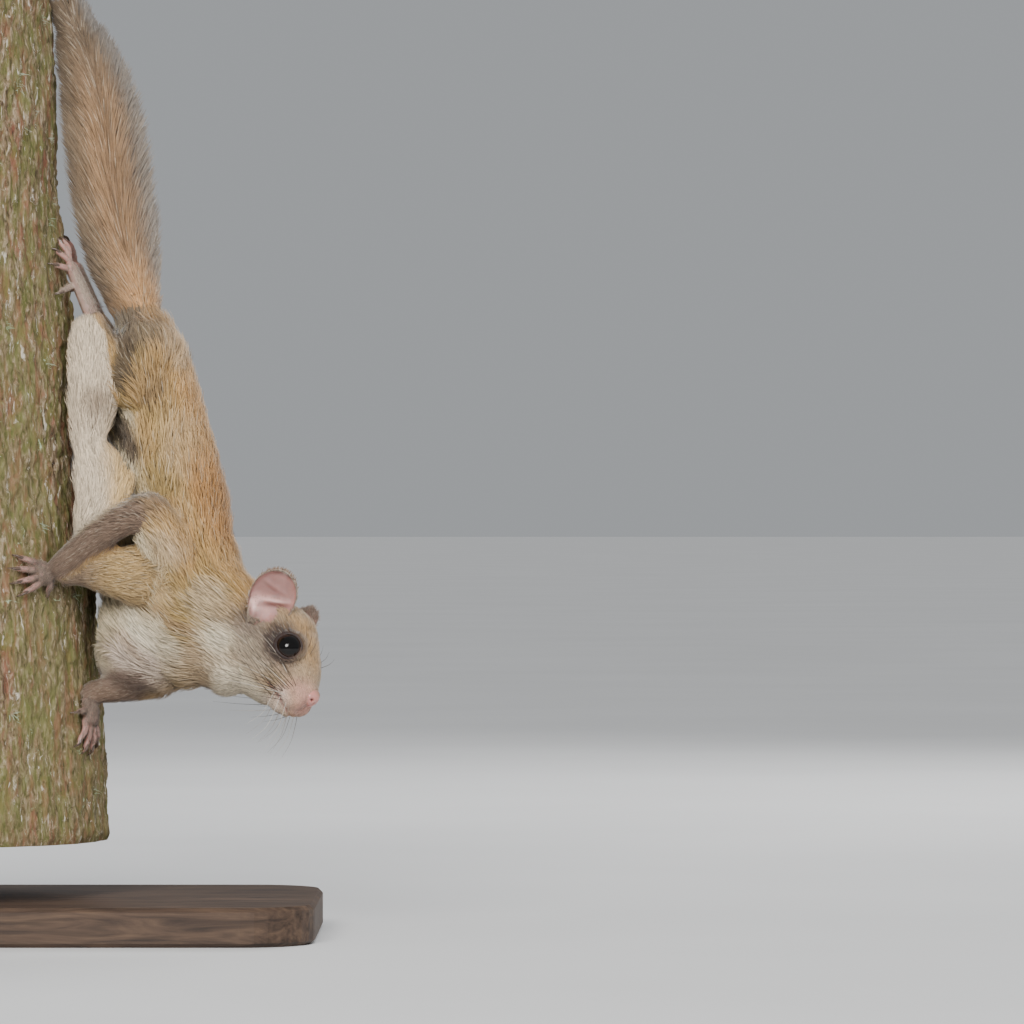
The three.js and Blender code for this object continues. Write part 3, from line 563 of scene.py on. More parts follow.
def material(name, **values):
    """A material and the constants of its shader, named with _ for a space."""
    mat = bpy.data.materials.new(name)
    mat.use_nodes = True
    tree = mat.node_tree
    shader = tree.nodes["Principled BSDF"]
    for key, value in values.items():
        shader.inputs[key.replace("_", " ")].default_value = value
    return mat, tree, shader


def add(tree, kind, **values):
    node = tree.nodes.new(kind)
    for key, value in values.items():
        if hasattr(node, key):
            setattr(node, key, value)
        else:
            node.inputs[key.replace("_", " ")].default_value = value
    return node


def noise(tree, scale, detail=4.0, roughness=0.55, stretch=(1, 1, 1), distortion=0.0):
    """Noise on the object's own place in metres."""
    place = add(tree, "ShaderNodeTexCoord")
    mapping = add(tree, "ShaderNodeMapping", Scale=stretch)
    tree.links.new(place.outputs["Object"], mapping.inputs["Vector"])
    made = add(tree, "ShaderNodeTexNoise", Scale=scale, Detail=detail, Roughness=roughness, Distortion=distortion)
    tree.links.new(mapping.outputs["Vector"], made.inputs["Vector"])
    return made.outputs["Fac"]


def ramp(tree, source, stops):
    made = add(tree, "ShaderNodeValToRGB")
    elements = made.color_ramp.elements
    while len(elements) < len(stops):
        elements.new(0.5)
    for element, (at, colour) in zip(elements, stops):
        element.position = at
        colour = (colour,) * 3 if np.isscalar(colour) else srgb(*colour)
        element.color = (*[float(x) for x in colour], 1)
    tree.links.new(source, made.inputs["Fac"])
    return made.outputs["Color"]


def mixed(tree, a, b, factor, mode="MIX"):
    made = tree.nodes.new("ShaderNodeMix")
    made.data_type = "RGBA"
    made.blend_type = mode
    for key, value in (("Factor", factor), ("A", a), ("B", b)):
        socket = made.inputs[key]
        if isinstance(value, bpy.types.NodeSocket):
            tree.links.new(value, socket)
        else:
            socket.default_value = (*[float(x) for x in value], 1) if socket.type == "RGBA" else value
    return made.outputs["Result"]


def scaled(tree, value, by):
    made = add(tree, "ShaderNodeMath", operation="MULTIPLY")
    made.inputs[1].default_value = by
    tree.links.new(value, made.inputs[0])
    return made.outputs[0]


def bump(tree, shader, height, distance, strength=1.0, after=None):
    made = add(tree, "ShaderNodeBump", Strength=strength, Distance=distance)
    tree.links.new(height, made.inputs["Height"])
    if after:
        tree.links.new(after.outputs["Normal"], made.inputs["Normal"])
    tree.links.new(made.outputs["Normal"], shader.inputs["Normal"])
    return made


def painted(tree, shader, fine=None, share=1.0):
    """The mesh's own colours, multiplied by a finer pattern where one is given."""
    colour = add(tree, "ShaderNodeVertexColor", layer_name="Col").outputs["Color"]
    if fine:
        colour = mixed(tree, colour, fine, share, "MULTIPLY")
    tree.links.new(colour, shader.inputs["Base Color"])


def coat_material():
    mat, tree, shader = material("coat", Roughness=0.6, Specular_IOR_Level=0.3, Sheen_Weight=0.25,
                                 Sheen_Roughness=0.5)
    painted(tree, shader, ramp(tree, noise(tree, 900, 3), [(0.3, 0.82), (0.7, 1.0)]))
    return mat


def skin_material(name, depth, roughness, subsurface):
    mat, tree, shader = material(name, Roughness=roughness, Subsurface_Weight=subsurface,
                                 Subsurface_Radius=(1.0, 0.35, 0.2), Subsurface_Scale=0.0015)
    painted(tree, shader, ramp(tree, noise(tree, 420, 5), [(0.25, 0.8), (0.75, 1.0)]))
    bump(tree, shader, noise(tree, 1500, 4, 0.6), depth, 0.6)
    return mat


COAT = coat_material()
UNDERCOAT = skin_material("undercoat", 0.0004, 0.85, 0.0)
BARE = skin_material("bare_skin", 0.00012, 0.5, 0.25)


# Body

SKIN_VOXEL = 0.82
LID_ANGLE, LID_WIDTH = 54, 0.45
EAR_SINK, HOLLOW_SINK, MOUTH_SINK = 3.4, 2.6, 0.75
CHEEK = ((-19.5, 8.0, 7.0), (8.0, 5.2, 8.0))
JAW = [(CHIN_AT, CHIN_SIZE), ((-6.0, 0, -6.6), (6.4, 4.6, 3.6)), ((-36, 0, -15), (13, 12, 11)),
       ((-43, 0, -9), (13, 13.5, 14)), ((-52, 0, -3), (13, 13, 14.5))]
FLANKS = [((46, -15.5, 203), (8, 8, 14)), ((46, 17, 199), (8, 8, 17))]
BODY_NODES = ["torso", "neck", "arm_fold_right"] + [
    part + "_" + side for side in SIDES for part in ("upper_arm", "forearm", "thigh", "shank", "membrane")]


def skull_parts():
    eggs = []
    for side in SIDES.values():
        eggs += [(mirrored(at, side), size) for at, size in ((PAD_AT, PAD_SIZE), CHEEK)]
    return [(in_head(v), f) for v, f in [loft(SKULL, 60, 48, (0.4, 0.45))] + [egg(*row) for row in eggs + JAW]]


def from_eye(q, side):
    """For places in the head's frame: their way from the eye's centre, and the angle off its axis in degrees."""
    gap = q - mirrored(EYE_AT, side)
    return gap, np.degrees(np.arccos(np.clip(unit(gap) @ unit(mirrored(EYE_OUT, side)), -1, 1)))


def carve_face(v, n):
    """Opens the eyes, sinks the line of the mouth and the groove under the nose, and gives how much painted shade
    goes along these two.
    """
    q = to_head(v)
    for side in SIDES.values():
        gap, angle = from_eye(q, side)
        far = size_of(gap)
        lid = EYE_RADIUS + LID_WIDTH + 0.5 * smooth(LID_ANGLE, 66, angle) * smooth(100, 74, angle)
        change = np.where(angle < LID_ANGLE, np.minimum(far, EYE_RADIUS - 1.2), np.maximum(far, lid))
        moved = (far < EYE_RADIUS + 5) & (angle < 105)
        q = np.where(moved[:, None], mirrored(EYE_AT, side) + unit(gap) * change[:, None], q)
    along = np.array(MOUTH_FRONT) - MOUTH_CORNER
    run = np.linalg.norm(along)
    along = along / run
    d = q[:, [0, 2]] - MOUTH_CORNER
    s = d @ along
    off = np.abs(d[:, 0] * along[1] - d[:, 1] * along[0] + 0.5 * np.sin(np.clip(s / run, 0, 1) * np.pi))
    line = (1 - smooth(0.15, 1.1, off)) * smooth(-1, 1.5, s) * (q[:, 0] > -17)
    groove = (1 - smooth(0.15, 0.8, np.abs(q[:, 1]))) * smooth(-9, -7, q[:, 2]) * (q[:, 0] > -5) * (q[:, 2] < 1)
    # Painted shade along the sunk mouth line and the groove under the nose.
    sink = in_head(q) - n * (MOUTH_SINK * np.maximum(line, groove * 0.7))[:, None]
    return sink, np.maximum(line, groove * 0.8)


def ear_bowl(q):
    """How far a place in the head's frame lies in front of an ear's root, 0 to 1."""
    total = np.zeros(len(q))
    for side in SIDES.values():
        up, out = unit(mirrored(EAR_UP, side)), unit(mirrored(EAR_OPEN, side))
        d = q - mirrored(EAR_ROOT, side)
        gap = np.stack([(d @ up - 1.5) / 6.5, (d @ np.cross(up, out)) / 7.4, (d @ out - 0.5) / 5.5], 1)
        total = np.maximum(total, 1 - smooth(0.75, 1.1, size_of(gap)))
    return total


def body_skin():
    parts = [cad(node, 0.35) for node in BODY_NODES] + skull_parts() + [egg(*row) for row in FLANKS]
    parts += [cad(part + "_" + side, -0.1) for part in ("hand", "foot") for side in SIDES]
    v, f = remeshed(*merged(parts), SKIN_VOXEL)
    q = to_head(v)
    head = np.minimum(smooth(-34, -24, q[:, 0]), np.maximum(smooth(-12, -6, q[:, 2]), smooth(-22, -14, q[:, 0])))
    small = 1 - smooth(0, 8, np.abs(q[:, 0] + 8)) * 0.5
    v = relaxed(v, f, 26, 0.5 * (1 - head))
    v = relaxed(v, f, 6, 0.5 * small)
    n = normals(v, f)
    v = v - n * (coat_values(v)[2][:, 2] - 0.35)[:, None]
    v = v - n * (EAR_SINK * ear_bowl(to_head(v)))[:, None]
    hollow = size_of((v - (40.5, -15, 186)) / (5, 9, 11))
    v = v - n * (HOLLOW_SINK * (1 - smooth(0.3, 1.0, hollow)))[:, None]
    v, dark = carve_face(v, n)
    return relaxed(v, f, 1, 0.35), f, dark


def bare_share(p):
    """How far a place is on the bare part of a hand or foot, 0 to 1."""
    total = np.zeros(len(p))
    for limb, low, high in (("arm", 0.97, 1.02), ("leg", 0.84, 1.0)):
        for name in (limb + "_right", limb + "_left"):
            near = 1 - smooth(13, 20, size_of(p - path_of(name)[-1]))
            total = np.maximum(total, smooth(low, high, to_line(p, name)) * near)
    return total


skin_v, skin_f, mouth_crease_shade = body_skin()
skin_n = normals(skin_v, skin_f)
skin_weights, _, skin_value, _ = coat_values(skin_v)
skin_bare = bare_share(skin_v)
skin_colour = blend(markings(skin_v, skin_n, skin_weights), srgb(176, 146, 134), skin_bare)
# The skin under the coat is darkened: partly its darker underfur, partly painted shade among the roots. The mouth
# line and the groove under the nose get painted shade.
skin_colour = blend(skin_colour * (0.78 + 0.12 * skin_bare)[:, None], srgb(132, 84, 76), mouth_crease_shade * 0.8)
piece("skin", skin_v, skin_f, "fur_back", UNDERCOAT, replaces=BODY_NODES + ["head"], colours=skin_colour)


# Trunk's place, which the coat also keeps clear of: height, X of its axis, radius

TRUNK = np.array([(37, -35.5, 69.5), (134, -39.6, 67.5), (234, -45.6, 65.0), (284, -49.6, 63.4),
                  (373, -50.4, 61.0)])
TRUNK_LOW, TRUNK_HIGH = 37, 373


def trunk_place(z):
    return np.interp(z, TRUNK[:, 0], TRUNK[:, 1]), np.interp(z, TRUNK[:, 0], TRUNK[:, 2])


def round_trunk(turn, z, depth):
    """Places at a distance from the trunk's axis."""
    x, _ = trunk_place(z)
    return np.stack([x + depth * np.cos(turn), -depth * np.sin(turn), z], 1)


def trunk_gap(p):
    x, r = trunk_place(p[:, 2])
    return np.hypot(p[:, 0] - x, p[:, 1]) - r


# Fur

COVER = 5.4  # how many times over the tufts cover the skin
SHORT_HAIR = 5.4
HEAD_END, SHOULDER_END = 0.33, 0.62  # as shares of the spine's line
SHORT_TUFTS, LONG_TUFTS = 19000, 12000  # at most in one piece
SUNK = 0.35  # how deep the roots stand in the skin
SLOTS = {"fore": "fur_back", "rear": "fur_back", "head": "fur_flank", "arm_right": "fur_arm",
         "arm_left": "fur_arm", "web_right": "fur_belly", "web_left": "fur_belly"}


def tuft_mesh(curves, face_up, half, thin=0.38):
    """Solid tapered blades: curves (tufts, points, 3) from root to tip, with three corners a ring and a point."""
    count, points, _ = curves.shape
    rings = points - 1
    along = unit(np.gradient(curves, axis=1))
    up = unit(flattened(face_up[:, None, :], along))
    k = np.arange(rings) / rings
    width = (half[:, None] * (1 - 0.55 * k**1.6))[..., None]
    centre, up, side = curves[:, :rings], up[:, :rings], np.cross(along, up)[:, :rings]
    v = np.stack([centre - side * width, centre + up * (width * thin), centre + side * width], 2)
    v = np.concatenate([v.reshape(count, rings * 3, 3), curves[:, -1:]], 1)
    corners = ((0, 1), (1, 2), (2, 0))
    faces = [[0, 2, 1]]
    for r in range(0, 3 * (rings - 1), 3):
        for a, b in corners:
            faces += [[r + a, r + 3 + b, r + 3 + a], [r + a, r + b, r + 3 + b]]
    faces += [[3 * (rings - 1) + a, 3 * (rings - 1) + b, 3 * rings] for a, b in corners]
    f = (np.array(faces)[None] + (np.arange(count) * (3 * rings + 1))[:, None, None]).reshape(-1, 3)
    share = np.concatenate([np.repeat(k, 3), [1.0]])
    cross = np.concatenate([np.tile([0.0, 0.5, 1.0], rings), [0.5]])
    return v.reshape(-1, 3), f, share, cross


def fur_piece(name, curves, face_up, half, colours, uv, slot, soft=0.7, light=None):
    """Tufts as one piece; soft turns their normals towards light, or face_up, so that they shade as one coat."""
    v, f, share, cross = tuft_mesh(curves, face_up, half)
    count, n = len(curves), len(share)
    # Each tuft darkens towards its root: partly the hair's own darker base, partly painted shade deep among the
    # tufts.
    tone = colours[:, None, :] * (0.60 + 0.37 * share**0.7)[None, :, None]
    patch = np.stack([np.tile(cross * 0.003, count), np.tile(share * 0.003, count)], 1)
    light = unit(face_up if light is None else light)
    piece(name, v, f, slot, COAT, colours=tone.reshape(-1, 3), uv=np.repeat(uv, n, axis=0) + patch,
          facing=unit(0.5 * normals(v, f) + soft * np.repeat(light, n, axis=0)))


def hair_lines(at, way, length, steps):
    """Straight hairs, and the share from root to tip that more terms are added by."""
    s = np.linspace(0, 1, steps)[None, :, None]
    return at[:, None] + way[:, None] * length[:, None, None] * s, s


def tinted(colours, p, seed, grizzle=1.0):
    """Hair is never one colour: broad drifts, locks, and single grizzled tufts."""
    local = np.random.default_rng(seed)
    drift = 1 + 0.08 * wave_noise(p, 20, seed) + 0.11 * wave_noise(p, 4.5, seed + 1)
    each = local.normal(1, 0.10, len(p))
    tone = colours * (drift * (1 + (each - 1) * grizzle))[:, None]
    tone[local.random(len(p)) < 0.17] *= 0.60
    pale = local.random(len(p)) < 0.10
    tone[pale] = tone[pale] * 0.75 + srgb(232, 216, 190) * 0.25
    return tone


def line_uv(p, shares, main):
    """Round and along the line that each place belongs to."""
    uv = np.zeros((len(p), 2))
    for i, name in enumerate(LINE_NAMES):
        mask = main == i
        if not mask.any():
            continue
        share = shares[i][mask]
        along = tangents(path_of(name), share)
        a = unit(np.cross(along, (0.2, 0.9, 0.1) if name == "spine" else (0.9, 0.2, 0.3)))
        b = np.cross(along, a)
        d = p[mask] - spline(path_of(name), share)
        round_at = np.arctan2((d * a).sum(1), (d * b).sum(1)) / TURN + 0.5
        uv[mask] = 0.005 + 0.985 * np.stack([round_at, share], 1)
    return uv


def body_roots():
    """Where the tufts stand on the skin: evenly by area, closer where they are short, fewer where unseen."""
    a, b, c, d = (skin_v[skin_f[:, i]] for i in range(4))
    value = skin_value[skin_f].mean(axis=1)
    want = size_of(np.cross(c - a, d - b)) / 2 * COVER / (2 * value[:, 3] * value[:, 1])
    n, gap = skin_n, trunk_gap(skin_v)
    hidden = smooth(9, 3, gap) * smooth(0.3, -0.4, n[:, 0]) + 0.8 * (skin_v[:, 1] > 4) * smooth(0.2, 0.6, n[:, 1])
    want *= (1.12 - 0.55 * np.clip(hidden, 0, 1))[skin_f].mean(axis=1)
    arms, far = weight_of(skin_weights, "arm_left", "arm_right"), weight_of(skin_weights, "web_left")
    want *= (1 - 0.45 * arms - 0.35 * far)[skin_f].mean(axis=1)
    want[(gap < 0.2)[skin_f].all(axis=1)] = 0
    want[(skin_bare[skin_f].mean(axis=1) > 0.75) | (mouth_crease_shade[skin_f].mean(axis=1) > 0.45)] = 0
    total = np.cumsum(want)
    picks = np.arange(0, total[-1], 1.0) + rng.random(int(np.ceil(total[-1])))
    face = np.searchsorted(total, picks[picks < total[-1]])
    u, w = rng.random(len(face))[:, None], rng.random(len(face))[:, None]
    corner = skin_f[face]
    mix = np.stack([(1 - u) * (1 - w), u * (1 - w), u * w, (1 - u) * w], 0)
    at, normal = (sum(mix[i] * each[corner[:, i]] for i in range(4)) for each in (skin_v, n))
    return at, unit(normal)


def body_coat():
    at, n = body_roots()
    q = to_head(at)
    keep = np.ones(len(at), bool)
    for side in SIDES.values():
        gap, angle = from_eye(q, side)
        keep &= ~((size_of(gap) < EYE_RADIUS + 2.4) & (angle < 66))
    keep &= ear_bowl(q) < 0.5
    keep &= size_of((q - NOSE_AT) / (np.array(NOSE_SIZE) + 0.1)) > 1.0
    at, n = at[keep], n[keep]
    count = len(at)
    weights, way, value, shares = coat_values(at)
    face = smooth(-46, -36, to_head(at)[:, 0])
    colours = tinted(markings(at + n * value[:, 2:3], n, weights), at, 31, 1 + 0.9 * face)
    way = unit(flattened(way, n))
    angle = 0.24 * wave_noise(at, 16, 41) + 0.10 * wave_noise(at, 5, 43) + rng.normal(0, 0.10, count)
    way = way * np.cos(angle)[:, None] + np.cross(n, way) * np.sin(angle)[:, None]
    length = value[:, 1] * rng.uniform(0.78, 1.12, count)
    lift = value[:, 2] * np.clip(1 + 0.35 * wave_noise(at, 7, 47) + rng.normal(0, 0.22, count), 0.3, 1.8)
    half = value[:, 3] * rng.uniform(0.75, 1.2, count)
    bend = np.cross(n, way) * (rng.normal(0, 0.06, count) * length)[:, None]
    main = weights.argmax(axis=0)
    uv = line_uv(at, shares, main)
    along_spine = np.where(shares[0] < HEAD_END, "head", np.where(shares[0] < SHOULDER_END, "fore", "rear"))
    label = np.where(main == 0, along_spine, np.array(LINE_NAMES)[main])
    for group in sorted(set(label)):
        mask = np.flatnonzero(label == group)
        short = value[mask, 1] < SHORT_HAIR
        for tag, some, rings, most in (("short", mask[short], 2, SHORT_TUFTS),
                                       ("long", mask[~short], 3, LONG_TUFTS)):
            for part in range(0, len(some), most):
                ids = some[part:part + most]
                curves, s = hair_lines(at[ids] - n[ids] * SUNK, way[ids], length[ids], rings + 1)
                out = np.sin(np.minimum(s * 1.25, 1) * np.pi / 2) * (1 - 0.22 * s**3)
                curves = curves + n[ids][:, None] * (lift[ids] + SUNK)[:, None, None] * out \
                    + bend[ids][:, None] * s**2
                fur_piece(f"coat_{group}_{tag}_{part // most}", curves, n[ids], half[ids], colours[ids], uv[ids],
                          SLOTS.get(group, "fur_flank"))


# Hands and feet, finer than the rest of the skin, with short sleek hair that thins out along the digits

LIMB_VOXEL, LIMB_TUFTS = 0.3, 2200
LIMBS = {"hand": ("arm_", (150, 122, 112), (142, 122, 108)), "foot": ("leg_", (172, 146, 134), (176, 156, 138))}


def bare_limb(side, part):
    line, tone, hair_tone = LIMBS[part]
    node, path = part + "_" + side, path_of(line + side)
    v, f = remeshed(*cad(node, 0.05), LIMB_VOXEL)
    v = relaxed(v, f, 7, 0.5)
    n = normals(v, f)
    v = v + n * 0.12
    reach = size_of(v - path[-1])
    tone = blend(plain(tone, len(v)), srgb(176, 134, 124), smooth(6, 13, reach))
    tone = blend(tone, srgb(128, 104, 92), smooth(0.2, 0.8, wave_noise(v, 3.0, 5)) * 0.35)
    piece(node + "_skin", v, f, "skin", BARE, replaces=[node], colours=tone)
    local = np.random.default_rng(300 + len(side + part))
    x, _ = trunk_place(v[:, 2])
    out = unit(np.stack([v[:, 0] - x, v[:, 1], 0 * x], 1))
    want = smooth(-0.1, 0.5, (n * out).sum(1)) * (1 - 0.75 * smooth(7, 15, reach)) * (reach < 19)
    some = local.choice(len(v), LIMB_TUFTS, p=want / want.sum())
    at, up = v[some] + local.normal(0, 0.1, (len(some), 3)), n[some]
    way = unit(at - path[-1] + unit(path[-1] - path[-2]) * 6)
    way = unit(flattened(way, up) + local.normal(0, 0.12, at.shape))
    length = local.uniform(1.1, 2.0, len(at)) * (1 - 0.45 * smooth(6, 14, reach[some]))
    curves, s = hair_lines(at, way, length, 3)
    curves = curves + up[:, None] * 0.28 * np.sin(s * np.pi / 2)
    spread = (at - at.min(0)) / np.ptp(at, axis=0).max()
    fur_piece(f"coat_{part}_{side}", curves, up, local.uniform(0.07, 0.12, len(at)),
              tinted(plain(hair_tone, len(at)), at, 320), 0.02 + 0.95 * spread[:, [1, 2]], "fur_arm")


# Tail: a core, then long tufts that leave it towards the end and bend outwards.
# Its stations: place, half width and half thickness of the body, half width of the hair.

TAIL = np.array([
    (44.2, 1.5, 240, 8.5, 7.0, 9), (42.4, 2, 249, 8.5, 5.8, 12), (38.4, 3, 263, 8.5, 4.6, 16.2),
    (33.8, 3.5, 286, 8.6, 4.2, 18.4), (30.8, 3.5, 310, 8.2, 3.8, 18.2), (27.6, 3, 328, 7.0, 3.2, 16.6),
    (22.8, 2, 345, 3.9, 2.2, 12.6), (19.4, 2, 354, 1.6, 1.2, 8.6),
])
TAIL_UP = np.array([0.5, -0.86, 0.05])
TAIL_END = np.array([15.6, 1, 366.5])
TAIL_TUFTS = 18000


def by_tail(t, across, off):
    """Places beside the tail's middle line, which runs a little beyond both its ends, and the way up there."""
    inside = np.clip(t, 0, 1)
    along = tangents(TAIL[:, :3], inside)
    up = unit(TAIL_UP - (along @ TAIL_UP)[:, None] * along)
    side = np.cross(up, along)
    beyond = np.clip((t - 1) * 9, 0, 1)[:, None]
    before = np.minimum(t, 0)[:, None] * 130 * along
    centre = spline(TAIL[:, :3], inside) * (1 - beyond) + TAIL_END * beyond + before
    return centre + side * across[:, None] + up * off[:, None], up


def tail_tone(t, across, p):
    edge = smooth(0.40, 0.95, np.abs(across))
    streak = (1 - smooth(0.0, 0.45, np.abs(across - 0.05))) * smooth(0.15, 0.4, t)
    base = (1 - smooth(0.06, 0.34, t + 0.10 * np.abs(across))) * (1 - 0.5 * edge)
    clumps = smooth(0.1, 0.9, wave_noise(p * (1, 1, 0.45), 8, 63)) * 0.5 * smooth(0.15, 0.35, t)
    light = smooth(0.35, 1.0, wave_noise(p * (1, 1, 0.5), 7, 67)) * smooth(0.2, -0.5, across)
    c = plain((168, 132, 96), len(t))
    for colour, share in (((142, 124, 102), edge * 0.85), ((126, 98, 72), streak * 0.5),
                          ((208, 158, 106), base * 0.9), ((112, 88, 66), clumps), ((202, 168, 130), light * 0.5),
                          ((110, 94, 76), smooth(0.55, 0.92, t) * 0.85)):
        c = blend(c, srgb(*colour), share)
    return vivid(c * (1 + 0.08 * wave_noise(p, 12, 61))[:, None], 1.0)


def tail():
    v, f = loft([tuple(r[:3]) + (r[3] * 0.8, r[4] * 0.75) for r in TAIL], 60, 28, (0.5, 1), TAIL_UP)
    piece("tail_core", v, f, "fur_tail", UNDERCOAT, replaces=["tail"], colours=plain((120, 92, 66), len(v)))
    count = TAIL_TUFTS
    t = np.sort((np.arange(count) + rng.random(count)) / count) * 1.03 - 0.04
    turn = rng.uniform(0, TURN, count)
    c, s = np.cos(turn), np.sin(turn)
    step = rng.uniform(11.5, 16.5, count) / 125
    size, wide = (spline(TAIL[:, 3:], np.clip(at, 0, 1)) for at in (t, t + step))
    root, up = by_tail(t, c * size[:, 0] * 0.72, s * size[:, 1] * 0.68)
    lean = np.sign(c) * np.abs(c) ** 0.8
    full = rng.uniform(0.80, 1.02, count) * (1 + 0.16 * (c < 0) * smooth(0.05, 0.3, t) * smooth(1.0, 0.85, t))
    over = s * wide[:, 1] * 1.45 + rng.normal(0, 0.35, count) + 0.35 * wave_noise(root, 9, 71)
    reach = lean * wide[:, 2] * full + rng.normal(0, 0.5, count) + 0.8 * wave_noise(root, 8, 73)
    tip, _ = by_tail(t + step, reach, over)
    middle, _ = by_tail(t + step * 0.45, c * (size[:, 0] * 0.45 + wide[:, 2] * 0.42), s * size[:, 1] * 1.3)
    k = np.linspace(0, 1, 4)[None, :, None]
    curves = root[:, None] * (1 - k) ** 2 + 2 * middle[:, None] * k * (1 - k) + tip[:, None] * k**2
    facing = unit(up * np.where(s > 0, 1, -1)[:, None] * (0.35 + np.abs(s))[:, None])
    colours = tinted(tail_tone(t + step * 0.6, lean * full, tip), tip, 81)
    light = unit(by_tail(t, c * 10, s * 0)[0] - by_tail(t, c * 0, s * 0)[0]) * np.abs(c)[:, None] + up * s[:, None]
    half = rng.uniform(0.26, 0.42, count)
    uv = np.stack([0.005 + 0.98 * turn / TURN, 0.01 + 0.97 * (t + 0.04) / 1.04], 1)
    for start in range(0, count, LONG_TUFTS):
        ids = slice(start, start + LONG_TUFTS)
        fur_piece(f"coat_tail_{start // LONG_TUFTS}", curves[ids], facing[ids], half[ids], colours[ids], uv[ids],
                  "fur_tail", light=light[ids])


for side_name in SIDES:
    bare_limb(side_name, "hand")
    bare_limb(side_name, "foot")
body_coat()
tail()


# Eyes

def eyeball(side):
    """A sphere whose pole is its outward axis, so that rings of colour follow the pupil."""
    out = unit(mirrored(EYE_OUT, side))
    v, f = egg((0, 0, 0), (1, 1, 1), 64, 40)
    a = unit(np.cross(out, (0.1, 0.2, 1)))
    pole = v[:, 2]
    tone = blend(plain((40, 26, 18), len(v)), srgb(8, 6, 6), smooth(0.66, 0.74, pole))
    tone = blend(tone, srgb(16, 10, 8), 1 - smooth(0.30, 0.46, pole))
    return mirrored(EYE_AT, side) + (v @ np.array([a, np.cross(out, a), out])) * EYE_RADIUS, f, tone


def lid_ring(side, count=72, around=12):
    """The bare dark rim of the lids: a soft ring round the eye, drawn out a little at its corners."""
    centre, out = mirrored(EYE_AT, side), unit(mirrored(EYE_OUT, side))
    a = unit(np.cross(out, (0, 0, 1)))
    b = np.cross(out, a)
    turn = np.arange(count) * TURN / count
    open_by = np.radians(60 + 5.0 * np.abs(np.cos(turn)) ** 3 - 3.0 * np.abs(np.sin(turn)) ** 2)
    ray = np.cos(turn)[:, None] * a + np.sin(turn)[:, None] * b
    path = centre + EYE_RADIUS * 1.045 * (ray * np.sin(open_by)[:, None] + out * np.cos(open_by)[:, None])
    outward = unit(path - centre)
    flat = np.cross(outward, unit(np.roll(path, -1, 0) - np.roll(path, 1, 0)))
    phi = np.arange(around) * TURN / around
    thick = 0.52 + 0.10 * np.cos(2 * turn)
    v = path[:, None] + outward[:, None] * (0.42 * np.sin(phi))[None, :, None] \
        + flat[:, None] * (thick[:, None] * np.cos(phi)[None, :])[..., None]
    return v.reshape(-1, 3), grid_faces(count, around, ring=True)


def eyes():
    mat, tree, shader = material("eye", Roughness=0.07, Specular_IOR_Level=0.36)
    painted(tree, shader, ramp(tree, noise(tree, 1800, 5, 0.7), [(0.3, 0.6), (0.7, 1.0)]), 0.6)
    for name, side in SIDES.items():
        v, f, tone = eyeball(side)
        v = in_head(v)
        piece("eyeball_" + name, v, facing_out(v, f), "eye", mat, replaces=["eye_" + name], colours=tone)
        v, f = lid_ring(side)
        v = in_head(v)
        tone = plain((46, 34, 32), len(v)) * (1 + 0.15 * wave_noise(v, 2, 91))[:, None]
        piece("lids_" + name, v, facing_out(v, f), "skin", BARE, colours=tone)


# Nose

def nose():
    at, size = np.array((-1.3, 0, 2.3)), np.array((3.1, 3.6, 3.9))
    v, f = egg(at, size, 90, 60)
    n = unit((v - at) / size)
    tone = plain((190, 132, 122), len(v))
    press = np.zeros(len(v))
    for side in SIDES.values():
        gap = (v - (0.9, 2.0 * side, 2.2)) / (1.4, 0.72, 0.66)
        gap[:, 2] += 0.35 * np.abs(gap[:, 1])
        nostril = 1 - smooth(0.5, 1.25, size_of(gap))
        wing = np.exp(-(((v - (-0.2, 3.3 * side, 2.4)) / (1.4, 0.9, 1.3)) ** 2).sum(1))
        press += nostril * 0.9 - 0.4 * wing
        # The nostrils are sunk and painted dark: painted shade in their openings.
        tone = blend(tone, srgb(84, 36, 34), nostril * 0.9)
    groove = (1 - smooth(0.1, 0.5, np.abs(v[:, 1]))) * smooth(3.6, 1.6, v[:, 2]) * (v[:, 0] > -1.2)
    # painted shade in the groove, which is also sunk
    tone = blend(tone, srgb(150, 88, 82), groove * 0.6)
    tone = blend(tone, srgb(150, 116, 98), smooth(4.2, 5.8, v[:, 2]) * 0.8)
    v = in_head(v - n * (press + 0.45 * groove)[:, None])
    mat, tree, shader = material("nose", Roughness=0.34, Subsurface_Weight=0.3, Coat_Weight=0.25,
                                 Subsurface_Radius=(1.0, 0.35, 0.2), Subsurface_Scale=0.001)
    painted(tree, shader)
    cells = add(tree, "ShaderNodeTexVoronoi", Scale=3400.0)
    tree.links.new(add(tree, "ShaderNodeTexCoord").outputs["Object"], cells.inputs["Vector"])
    bump(tree, shader, cells.outputs["Distance"], 0.00012, 0.5)
    piece("nose_skin", v, facing_out(v, f), "nose", mat, replaces=["nose"], colours=tone)


# Ears. Their forms and colours go by the rise from root to tip and by the place across, -1 to 1 between the
# edges: rise, how it slopes across, its width, place across, its width, then depth, or colour and strength.

EAR_HEIGHT = 20
EAR_FORMS = [(0.40, 0.20, 0.055, 0.1, 0.45, 1.9), (0.16, 0, 0.15, -0.42, 0.24, 3.0),
             (0.66, -0.12, 0.05, -0.15, 0.35, 0.8), (0.05, 0, 0.10, 0.45, 0.25, 1.6)]
# Painted light: paler on the raised lobe and ridge that EAR_FORMS builds.
EAR_PAINTED_LIGHT = [(0.18, 0, 0.17, -0.40, 0.34, (240, 200, 192), 0.95),
             (0.42, 0.20, 0.05, 0.1, 0.45, (226, 184, 176), 0.8)]
# Painted shade in the cleft between the lobe and the ridge.
EAR_CLEFT_SHADE = (0.31, 0.22, 0.045, 0.1, 0.5, (132, 88, 82), 0.7)


